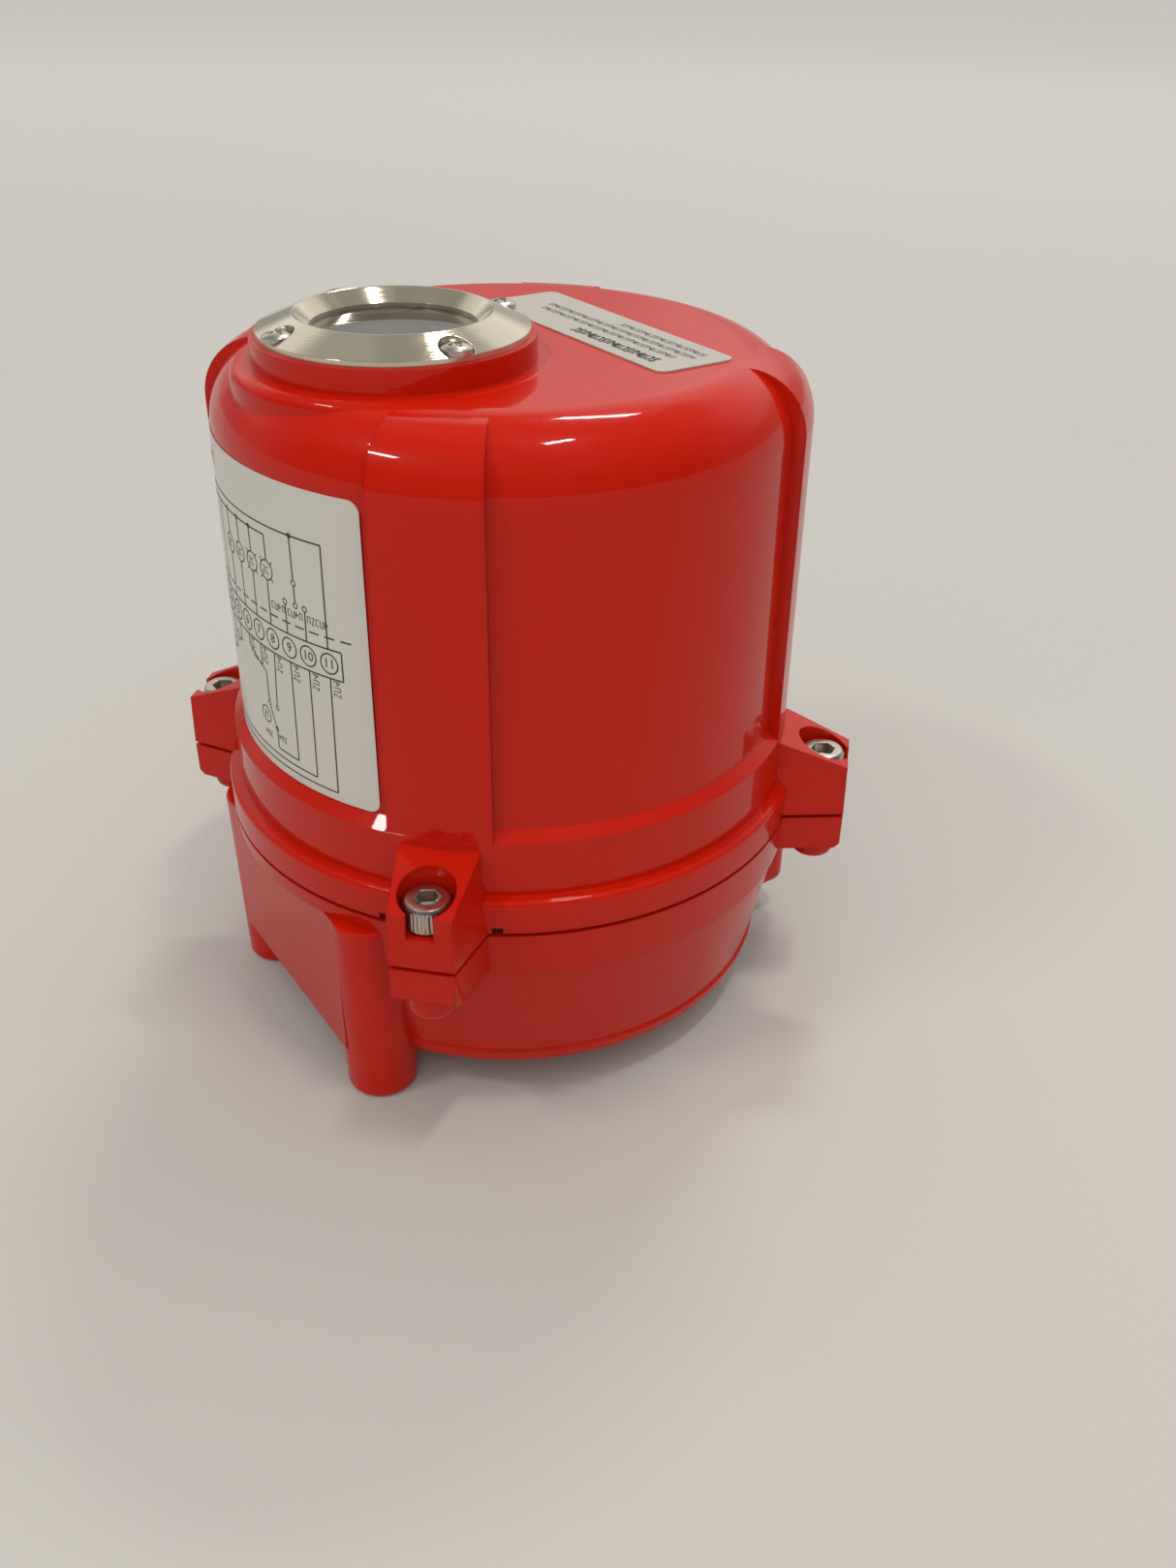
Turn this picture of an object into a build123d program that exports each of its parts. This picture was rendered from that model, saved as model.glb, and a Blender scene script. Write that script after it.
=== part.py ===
from build123d import *
import math
import os

# Quarter-turn electric valve actuator.
# Frame: millimetres, +Z up, origin on the output axis in the plane of the four feet.
# +X runs from the output axis to the axis of the round housing.

# ---- driving dimensions -------------------------------------------------------
HOUSING_X = 22.15          # housing axis, measured from the output axis
SPLIT_Z = 44.7             # middle of the joint between base and cover
SEAL_T = 0.8               # gasket thickness, which is also the gap at the joint
FLOOR_Z = 9.4              # underside of the base floor
FLOOR_T = 5.0
COVER_H = 88.9             # split to the flat top of the cover
FLANGE_R = 58.1            # outer radius of both flanges
COVER_FLANGE_H = 6.8
SHOULDER_R = FLANGE_R - 2.3       # band above the cover flange, and face of the pilasters
SHOULDER_H = 17.9          # split to the top of that band
WALL_R = SHOULDER_R - 2.2         # cover wall between pilasters, at its foot
WALL_TOP_R = WALL_R - 0.8         # the same wall at the top, after its draft
WALL_T = 3.5
TOP_T = 4.0
TOP_FILLET = 12.0
PILASTER_HALF = 9.8        # degrees each side of a diagonal
PRY_ANGLE = 10.3           # pry notches in the joint, each side of a diagonal
EAR_FACE_R = FLANGE_R + 11.2      # flat outer face of an ear, from the housing axis
EAR_W = 11.8               # width of that face
EAR_ROOT_R = FLANGE_R - 1.5       # where the sides of an ear leave the flange
EAR_ROOT_HALF = 9.1        # half width there
EAR_CREST_HALF = 7.3       # half width of the sloping roof where it meets the wall
BASE_EAR_H = 7.4
COVER_EAR_H = 10.6         # joint to the outer edge of the roof
COVER_CREST_H = 15.8       # joint to the crest of the roof
SCREW_R = EAR_FACE_R - 5.45       # cover screws, from the housing axis
BASE_FOOT_R = FLANGE_R - 5.7      # base wall at the floor
BASE_BAND_H = 9.4
BASE_T = 4.2
FLAT_X = -32.0             # flat panel between the two outer legs
LEG_R = 7.4
LEG_PCD = 70.0             # mounting circle
LEG_HOLE_R = 3.4           # core of an M8 thread
LEG_HOLE_D = 12.0
LEG_TOP_Z = 41.2           # top of the outer legs and of the flat panel
BLOCK_X = HOUSING_X + FLANGE_R - 0.45   # end face of the cable entry block
BLOCK_HALF_Y = 26.8
ENTRY_Y = 13.0
ENTRY_Z = 24.0
ENTRY_R = 9.25             # core of an M20 x 1.5 thread
BLOCK_LOW_Z = 8.0          # underside and top of that block
BLOCK_TOP_Z = 38.0
GLASS_R = 17.0             # window glass; the rings round it follow from this radius
GLASS_T = 2.6
GLASS_SUNK = 2.0           # underside of the glass below the bezel
WINDOW_SEAL_T = 1.0
SIGHT_R = GLASS_R - 3.0    # clear opening under the glass
BEZEL_RIDGE_R = GLASS_R - 0.3
BEZEL_SCREW_R = GLASS_R + 4.0
BEZEL_SCREWS = (0, 90, 180, 270)
WINDOW_R = GLASS_R + 6.1   # outer radius of the window bezel
BEZEL_H = 3.6
BEZEL_EDGE = 1.0           # height of its upright edge
COLLAR_R = WINDOW_R + 1.1  # upper step on the cover top, which carries the bezel
COLLAR_H = 4.2
PLINTH_R = COLLAR_R + 3.8  # lower step
SHAFT_R = 11.0             # lower journal of the output shaft
SHAFT_HUB_R = SHAFT_R - 1.0       # seat of the sector gear
BUSH_T = 2.0
SHAFT_NECK_R = 8.0         # upper journal
SHAFT_TOP_R = 6.0          # seat of the cams
SQUARE_DRIVE = 14.0        # across flats of the female drive
DRIVE_DEPTH = 16.0
PLATE_Z = 38.5             # underside of the gear plate
PLATE_T = 3.0
PLATE_R = FLANGE_R - 8.6
PANEL_GAP = 0.3            # gear plate to the flat panel of the base
MOTOR_R = 19.5             # geared motor; its lugs reach out from this radius
MOTOR_H = 46.0
RUN = 0.05                 # radial running clearance
SEAT = 0.02                # radial clearance of a fixed fit
TAP_M5_R = 2.1
TAP_M4_R = 1.65
TAP_M3_R = 1.25
CLEAR_M3_R = 1.6
LABEL_HALF = 33.2          # degrees each side of the label's middle
LABEL_T = 0.25
STICKER_X, STICKER_Y = (31.8, 48.0), (-32.5, 24.5)
CAM_T, CAM_GAP, CAM_R, LOBE_R = 6.0, 3.0, 11.0, 12.8
STEM_R = 3.0
KEY_W, KEY_H = 6.0, 6.0
STOP_R, STOP_CIRCLE = 2.5, 28.0
LUG_ANGLE, LUG_R = 100.0, MOTOR_R + 3.5     # fixing lugs of the motor, about its axis
CAPACITOR, CAPACITOR_R, CAPACITOR_H = (19.5, 37.5), 10.0, 38.0
SWITCH_X, SWITCH_Y, SWITCH_T = (-12.0, 8.0), (17.4, 27.0), 6.0
PIN_R = 0.8
TERMINAL_X, TERMINAL_Y, TERMINAL_Z = 0.5, (-39.5, -28.5), 50.0
TERMINAL_PITCH, TERMINALS = 4.5, 11
HEATER = (-7.0, -24.0)
GROUND = (22.0, -36.0)

# teeth and modules of the train
SECTOR_TEETH, SECTOR_M = 44, 1.5
PINION_TEETH = 12
WHEEL_2_TEETH, WHEEL_2_M = 48, 1.0
WHEEL_1_TEETH, WHEEL_1_M = 40, 0.8
MANUAL_TEETH = 16
SECTOR_HALF = 58.0         # degrees each side of the sector's middle
SECTOR_REST = -45.0        # middle of the sector when the valve is closed

COVER_Z = SPLIT_Z + SEAL_T / 2
BASE_Z = SPLIT_Z - SEAL_T / 2
TOP_Z = SPLIT_Z + COVER_H
FLOOR_TOP = FLOOR_Z + FLOOR_T
BEZEL_Z = TOP_Z + COLLAR_H
BEZEL_TOP_Z = BEZEL_Z + BEZEL_H
GLASS_Z = BEZEL_Z - GLASS_SUNK
DECK = PLATE_Z + PLATE_T
CAM_Z = DECK + 4.5
SHAFT_TOP = CAM_Z + 2 * CAM_T + CAM_GAP + 9
DIAL_Z = TOP_Z - 3.0
SHOULDER_Z = SPLIT_Z + SHOULDER_H
WALL_FOOT_Z = SHOULDER_Z + 1.8
LABEL_Z0, LABEL_Z1 = WALL_FOOT_Z + 0.2, TOP_Z - TOP_FILLET - 0.3
STOP_ANGLE = SECTOR_HALF + 45 + 6
LEVER_PIVOT = (SWITCH_X[0] + 2.5, SWITCH_Y[0] - 1.6)
DIAGONALS = (45, 135, 225, 315)
HOUSING = Location((HOUSING_X, 0, 0))
SEAT_Z = COVER_Z + 6.4     # under the heads of the cover screws

# gear levels
SECTOR_Z, SECTOR_T = 19.0, 8.0
WHEEL_2_Z, WHEEL_2_T = SECTOR_Z + SECTOR_T + 1.5, 4.0
WHEEL_1_Z, WHEEL_1_T = WHEEL_2_Z + WHEEL_2_T + 1.3, 3.0


def polar(r, deg, origin=(0.0, 0.0)):
    a = math.radians(deg)
    return (origin[0] + r * math.cos(a), origin[1] + r * math.sin(a))


def meshing(teeth_a, teeth_b, module):
    return module * (teeth_a + teeth_b) / 2


# gear axes in plan: output, second compound gear, first compound gear, motor, hand drive
OUTPUT = (0.0, 0.0)
AXLE_2 = (meshing(SECTOR_TEETH, PINION_TEETH, SECTOR_M), 0.0)
ANGLE_21 = 105.0
AXLE_1 = polar(meshing(WHEEL_2_TEETH, PINION_TEETH, WHEEL_2_M), ANGLE_21, AXLE_2)
ANGLE_1M = -65.0
MOTOR = polar(meshing(WHEEL_1_TEETH, PINION_TEETH, WHEEL_1_M), ANGLE_1M, AXLE_1)
ANGLE_2H = -85.0
HAND = polar(meshing(WHEEL_2_TEETH, MANUAL_TEETH, WHEEL_2_M), ANGLE_2H, AXLE_2)
AXLE_2_R, AXLE_1_R, MOTOR_SHAFT_R, HAND_R = 3.5, 2.5, 2.5, 3.5

# gear plate columns, cast in the base
COLUMN_R, COLUMN_CIRCLE = 4.5, PLATE_R - 3.5
COLUMNS = [polar(COLUMN_CIRCLE, a, (HOUSING_X, 0)) for a in (36, 110, -110, -36)]


# ---- small helpers ------------------------------------------------------------
def post(r, z0, z1, at=(0.0, 0.0)):
    """Upright cylinder between two heights."""
    return Pos(at[0], at[1], (z0 + z1) / 2) * Cylinder(r, z1 - z0)


def tube(r_in, r_out, z0, z1, at=(0.0, 0.0)):
    return post(r_out, z0, z1, at) - post(r_in, z0 - 1, z1 + 1, at)


def block(x0, x1, y0, y1, z0, z1):
    return Pos((x0 + x1) / 2, (y0 + y1) / 2, (z0 + z1) / 2) * Box(x1 - x0, y1 - y0, z1 - z0)


def prism(points, z0, z1):
    """Straight-sided solid over a closed outline in plan."""
    return Pos(0, 0, z0) * extrude(make_face(Polyline(*points, close=True)), z1 - z0)


def turned(points):
    """Solid of revolution about Z from an outline of (radius, height)."""
    outline = Plane.XZ * make_face(Polyline(*points, close=True))
    return revolve(outline, Axis.Z)


def rim(solid, r, z, tol=0.05):
    """Circular edges of a given radius at a given height."""
    edges = solid.edges().filter_by(GeomType.CIRCLE)
    return [e for e in edges if abs(e.radius - r) < tol and abs(e.center().Z - z) < tol]


def group(pieces):
    return Compound(children=list(pieces))


def hexagon(across, z0, z1, at=(0.0, 0.0)):
    corner = across / math.sqrt(3)
    return prism([polar(corner, 60 * k, at) for k in range(6)], z0, z1)


# ---- gears --------------------------------------------------------------------
PRESSURE = math.radians(20)
ADDENDUM, DEDENDUM, BACKLASH = 0.75, 1.1, 0.09


def tooth_flank(teeth, module, steps=4):
    """(radius, half angle) pairs of one involute flank, root to tip."""
    pitch_r = module * teeth / 2
    base_r = pitch_r * math.cos(PRESSURE)
    tip_r = pitch_r + ADDENDUM * module
    root_r = pitch_r - DEDENDUM * module
    half = (math.pi / 2 - BACKLASH) / teeth
    at_pitch = math.tan(PRESSURE) - PRESSURE
    low = max(base_r, root_r)
    flank = []
    for k in range(steps):
        r = low + (tip_r - low) * k / (steps - 1)
        roll = math.acos(min(1.0, base_r / r))
        flank.append((r, half + at_pitch - (math.tan(roll) - roll)))
    if root_r < base_r:
        flank.insert(0, (root_r, flank[0][1]))
    return flank


def gear(teeth, module, z0, z1, phase, at=(0.0, 0.0)):
    """Spur gear with a tooth centred on the direction phase, in degrees."""
    flank = tooth_flank(teeth, module)
    points = []
    for k in range(teeth):
        middle = phase + 360 * k / teeth
        points += [polar(r, middle - math.degrees(h), at) for r, h in flank]
        points += [polar(r, middle + math.degrees(h), at) for r, h in reversed(flank)]
    return prism(points, z0, z1)


def mated_phase(angle, teeth_a, phase_a, teeth_b):
    """Phase of gear b, which lies in direction angle from gear a and is in mesh with it."""
    pitch_a = 360 / teeth_a
    off = (phase_a - angle + pitch_a / 2) % pitch_a - pitch_a / 2
    return angle + 180 - off * teeth_a / teeth_b + 180 / teeth_b


# ---- screws -------------------------------------------------------------------
def cap_screw(r, head_r, head_h, under, length, hex_af, at):
    """Socket cap screw; under is the height of the seat below its head."""
    head = post(head_r, under, under + head_h, at)
    head = chamfer(rim(head, head_r, under + head_h), 0.45)
    head -= hexagon(hex_af, under + head_h * 0.5, under + head_h + 1, at)
    return head + post(r, under - length, under + 0.2, at)


def pan_screw(r, head_r, head_h, under, length, at):
    """Pan head screw with a cross recess."""
    head = post(head_r, under, under + head_h, at)
    head = fillet(rim(head, head_r, under + head_h), head_h * 0.6)
    x, y = at
    arm, slot = head_r * 0.62, head_r * 0.1
    top = under + head_h
    head -= block(x - arm, x + arm, y - slot, y + slot, top - head_h * 0.5, top + 1)
    head -= block(x - slot, x + slot, y - arm, y + arm, top - head_h * 0.5, top + 1)
    return head + post(r, under - length, under + 0.2, at)


# ---- base ---------------------------------------------------------------------
def ear_outline(root_half, face_r, face_half):
    """Plan of an ear with the diagonal along X."""
    side = [(WALL_R - 7, root_half), (EAR_ROOT_R, root_half), (face_r, face_half)]
    return [(u, -v) for u, v in side] + [(u, v) for u, v in reversed(side)]


def base():
    wall_top = BASE_Z - BASE_BAND_H
    body = turned([(0, FLOOR_Z), (BASE_FOOT_R, FLOOR_Z), (BASE_FOOT_R + 0.5, FLOOR_Z + 2.2),
                   (BASE_FOOT_R + 0.1, FLOOR_Z + 2.6), (FLANGE_R - 1.2, wall_top),
                   (FLANGE_R - 0.7, wall_top + 0.3), (FLANGE_R, BASE_Z), (0, BASE_Z)])
    body = HOUSING * body
    body -= block(FLAT_X - 40, FLAT_X, -FLANGE_R, FLANGE_R, 0, LEG_TOP_Z)

    entry = block(BLOCK_X - 21.8, BLOCK_X, -BLOCK_HALF_Y, BLOCK_HALF_Y, BLOCK_LOW_Z, BLOCK_TOP_Z)
    entry = fillet(entry.edges().filter_by(Axis.Z).sort_by(Axis.X)[-2:], 4.0)
    entry = fillet(entry.faces().sort_by(Axis.X)[-1].edges(), 2.0)
    body += entry

    for a in DIAGONALS:
        ear = prism(ear_outline(EAR_ROOT_HALF - 0.2, EAR_FACE_R, EAR_W / 2), BASE_Z - BASE_EAR_H,
                    BASE_Z)
        ear = chamfer(ear.faces().sort_by(Axis.Z)[0].edges().sort_by(Axis.X)[-1], 1.0)
        ear += post(4.4, BASE_Z - 12.1, BASE_Z - 5, (SCREW_R, 0))
        ear = fillet(rim(ear, 4.4, BASE_Z - 12.1), 1.6)
        body += HOUSING * Rot(0, 0, a) * ear

    foot = LEG_PCD / 2
    for a in DIAGONALS:
        x, y = polar(foot, a)
        leg = turned([(0, 0), (LEG_R - 0.5, 0), (LEG_R, LEG_TOP_Z), (0, LEG_TOP_Z)])
        leg = fillet(rim(leg, LEG_R - 0.5, 0), 1.2)
        leg = fillet(rim(leg, LEG_R, LEG_TOP_Z), 0.6)
        if x > 0:
            leg = leg & post(LEG_R + 1, 0, FLOOR_Z + 1)
        body += Pos(x, y, 0) * leg
    leg_y = polar(foot, 45)[1]
    body += block(FLAT_X, FLAT_X + BASE_T, -leg_y, leg_y, FLOOR_Z + 1, LEG_TOP_Z)

    cavity = turned([(0, FLOOR_TOP), (BASE_FOOT_R + 0.5 - BASE_T, FLOOR_TOP),
                     (FLANGE_R - 4.9, BASE_Z + 1), (0, BASE_Z + 1)])
    cavity = HOUSING * cavity
    cavity -= block(FLAT_X - 40, FLAT_X + BASE_T, -FLANGE_R, FLANGE_R, 0, BASE_Z + 5)
    body -= cavity

    for a in DIAGONALS:
        body -= post(LEG_HOLE_R, -1, LEG_HOLE_D, polar(foot, a))
        body -= post(TAP_M5_R, BASE_Z - 10.5, BASE_Z + 1, polar(SCREW_R, a, (HOUSING_X, 0)))

    # output boss and its bore, axle bosses, columns
    body += post(SHAFT_R + BUSH_T + 4.0, 4.0, FLOOR_TOP + 3.6)
    body -= post(SHAFT_R + BUSH_T, 3, FLOOR_TOP + 5)
    body += post(7.0, FLOOR_Z, FLOOR_TOP + 3.6, AXLE_2)
    body -= post(AXLE_2_R + SEAT, FLOOR_Z + 2, SECTOR_Z + 1, AXLE_2)
    body += post(5.5, FLOOR_Z, WHEEL_2_Z - 0.5, AXLE_1)
    body -= post(AXLE_1_R + SEAT, FLOOR_Z + 2, WHEEL_2_Z + 1, AXLE_1)
    body += post(8.0, FLOOR_Z, FLOOR_TOP + 6, HAND)
    body -= post(HAND_R + RUN, FLOOR_Z - 1, FLOOR_TOP + 7, HAND)
    body -= post(HAND_R + 1.8, FLOOR_Z - 1, FLOOR_Z + 2.2, HAND)
    for at in COLUMNS:
        body += post(COLUMN_R, FLOOR_TOP - 1, PLATE_Z, at)
        body -= post(TAP_M4_R, PLATE_Z - 9, PLATE_Z + 1, at)
    for side in (-1, 1):
        at = polar(STOP_CIRCLE, side * STOP_ANGLE)
        body -= post(STOP_R + SEAT, FLOOR_TOP - 3, FLOOR_TOP + 1, at)
        entry_hole = Rot(0, 90, 0) * Cylinder(ENTRY_R, 20)
        body -= Pos(BLOCK_X - 4, side * ENTRY_Y, ENTRY_Z) * entry_hole
    body -= post(TAP_M4_R, FLOOR_Z + 1.5, FLOOR_TOP + 1, GROUND)
    return body


# ---- cover --------------------------------------------------------------------
def cover_ear():
    """One screw ear in its own frame, with the diagonal along X."""
    edge, crest = COVER_Z + COVER_EAR_H, COVER_Z + COVER_CREST_H
    low = Polyline(*[(u, v, COVER_Z) for u, v in
                     ear_outline(EAR_ROOT_HALF, EAR_FACE_R, EAR_W / 2)], close=True)
    roof = ear_outline(EAR_CREST_HALF, EAR_FACE_R - 0.3, EAR_W / 2 - 0.2)
    high = Polyline(*[(u, v, edge) for u, v in roof], close=True)
    ear = loft([make_face(low), make_face(high)], ruled=True) + prism(roof, edge - 0.5, crest)
    side = [(WALL_R - 14, COVER_Z), (EAR_FACE_R, COVER_Z), (EAR_FACE_R, edge),
            (SHOULDER_R - 0.6, crest), (WALL_R - 14, crest)]
    profile = Plane.XZ * make_face(Polyline(*side, close=True))
    ear = ear & Pos(0, EAR_W * 2, 0) * extrude(profile, EAR_W * 4)
    return ear


def cover():
    body = turned([(0, COVER_Z), (FLANGE_R, COVER_Z), (FLANGE_R, SPLIT_Z + COVER_FLANGE_H),
                   (SHOULDER_R, SPLIT_Z + COVER_FLANGE_H + 0.3), (SHOULDER_R, SHOULDER_Z),
                   (WALL_R, WALL_FOOT_Z), (WALL_TOP_R, TOP_Z), (0, TOP_Z)])
    body = fillet(rim(body, WALL_TOP_R, TOP_Z), TOP_FILLET)
    body = fillet(rim(body, FLANGE_R, SPLIT_Z + COVER_FLANGE_H), 1.2)

    rib_top, rib_r = TOP_Z - 0.5, SHOULDER_R - 0.6
    rib = turned([(30, SPLIT_Z + 8), (SHOULDER_R, SPLIT_Z + 8), (rib_r, rib_top), (30, rib_top)])
    rib = fillet(rim(rib, rib_r, rib_top), TOP_FILLET - 1.0)
    reach = FLANGE_R + 12
    wedge = prism([(0, 0), polar(reach, -PILASTER_HALF), polar(reach, PILASTER_HALF)],
                  SPLIT_Z, TOP_Z + 5)
    pilaster = rib & wedge
    ear = cover_ear()
    for a in DIAGONALS:
        body += Rot(0, 0, a) * pilaster
        body += Rot(0, 0, a) * ear
    body = HOUSING * body

    plinth = post(PLINTH_R, TOP_Z - TOP_FILLET - TOP_T, TOP_Z + 0.1)
    plinth = fillet(rim(plinth, PLINTH_R, TOP_Z + 0.1), 2.0)
    body += plinth & HOUSING * post(WALL_TOP_R - 0.6, SPLIT_Z, TOP_Z + 1)
    body += post(COLLAR_R, TOP_Z - 2, BEZEL_Z)

    hollow_r = WALL_TOP_R - WALL_T
    hollow = HOUSING * post(hollow_r, COVER_Z - 1, TOP_Z - TOP_T)
    hollow = fillet(rim(hollow, hollow_r, TOP_Z - TOP_T), TOP_FILLET - WALL_T)
    body -= hollow
    body -= post(SIGHT_R, TOP_Z - TOP_T - 1, BEZEL_Z + 1)
    body -= post(GLASS_R + 0.3, GLASS_Z - WINDOW_SEAL_T, BEZEL_Z + 1)
    for a in BEZEL_SCREWS:
        body -= post(TAP_M3_R, BEZEL_Z - 6.5, BEZEL_Z + 1, polar(BEZEL_SCREW_R, a))
    for a in DIAGONALS:
        at = polar(SCREW_R, a, (HOUSING_X, 0))
        body -= post(TAP_M5_R + 0.65, COVER_Z - 1, SEAT_Z + 1, at)
        body -= post(5.1, SEAT_Z, COVER_Z + 20, at)
        notch = block(SCREW_R, EAR_FACE_R + 2, -2.45, 2.45, SEAT_Z - 0.4, COVER_Z + 20)
        body -= HOUSING * Rot(0, 0, a) * notch
        for side in (-1, 1):
            pry = block(FLANGE_R - 1.6, FLANGE_R + 2, -1.0, 1.0, COVER_Z - 1, COVER_Z + 1.2)
            body -= HOUSING * Rot(0, 0, a + side * PRY_ANGLE) * pry
    return body


def joint_pieces():
    """Gasket and screws that close the housing."""
    gasket = HOUSING * tube(FLANGE_R - 4.7, FLANGE_R - 1.5, BASE_Z, COVER_Z)
    screws = [cap_screw(TAP_M5_R - 0.04, 4.25, 5.0, SEAT_Z, 16.0, 4.0,
                        polar(SCREW_R, a, (HOUSING_X, 0))) for a in DIAGONALS]
    return {"cover_gasket": gasket, "cover_screws": group(screws)}


# ---- window -------------------------------------------------------------------
def window():
    glass_top = GLASS_Z + GLASS_T
    bezel = turned([(SIGHT_R + 0.2, glass_top), (GLASS_R + 0.3, glass_top), (GLASS_R + 0.3, BEZEL_Z),
                    (WINDOW_R, BEZEL_Z), (WINDOW_R, BEZEL_Z + BEZEL_EDGE), (BEZEL_RIDGE_R, BEZEL_TOP_Z),
                    (SIGHT_R + 0.2, glass_top + 0.6)])
    bezel = fillet(rim(bezel, BEZEL_RIDGE_R, BEZEL_TOP_Z), 0.35)
    screws = []
    for a in BEZEL_SCREWS:
        at = polar(BEZEL_SCREW_R, a)
        bezel -= post(2.9, BEZEL_Z + BEZEL_EDGE, BEZEL_TOP_Z + 2, at)
        bezel -= post(CLEAR_M3_R, BEZEL_Z - 1, BEZEL_Z + 3, at)
        screws.append(pan_screw(TAP_M3_R - 0.04, 2.6, 1.6, BEZEL_Z + BEZEL_EDGE, 7.0, at))
    glass = post(GLASS_R, GLASS_Z, glass_top)
    seal = tube(SIGHT_R, GLASS_R, GLASS_Z - WINDOW_SEAL_T, GLASS_Z)
    surround = tube(SIGHT_R - 1.3, SIGHT_R - 0.1, TOP_Z - TOP_T - 2, GLASS_Z - 0.4)
    surround += tube(SIGHT_R - 1.3, SIGHT_R + 2.0, TOP_Z - TOP_T - 2, TOP_Z - TOP_T - 0.05)
    return {"window_bezel": bezel, "bezel_screws": group(screws), "window_glass": glass,
            "window_seal": seal, "dial_surround": surround}


# ---- labels -------------------------------------------------------------------
def wall_radius(z):
    return WALL_R + (WALL_TOP_R - WALL_R) * (z - WALL_FOOT_Z) / (TOP_Z - WALL_FOOT_Z)


def labels():
    """Wiring label bent round the wall, and the sticker on the flat top."""
    r0, r1 = wall_radius(LABEL_Z0), wall_radius(LABEL_Z1)
    skin = turned([(r0, LABEL_Z0), (r0 + LABEL_T, LABEL_Z0), (r1 + LABEL_T, LABEL_Z1),
                   (r1, LABEL_Z1)])
    half_w = (r0 + 1) * math.sin(math.radians(LABEL_HALF))
    patch = block(-80, 0, -half_w, half_w, LABEL_Z0 - 1, LABEL_Z1 + 1)
    wiring = HOUSING * (skin & patch)
    sticker = block(*STICKER_X, *STICKER_Y, TOP_Z, TOP_Z + LABEL_T)
    sticker = fillet(sticker.edges().filter_by(Axis.Z), 2.0)
    return {"wiring_label": wiring, "top_sticker": sticker}


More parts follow.
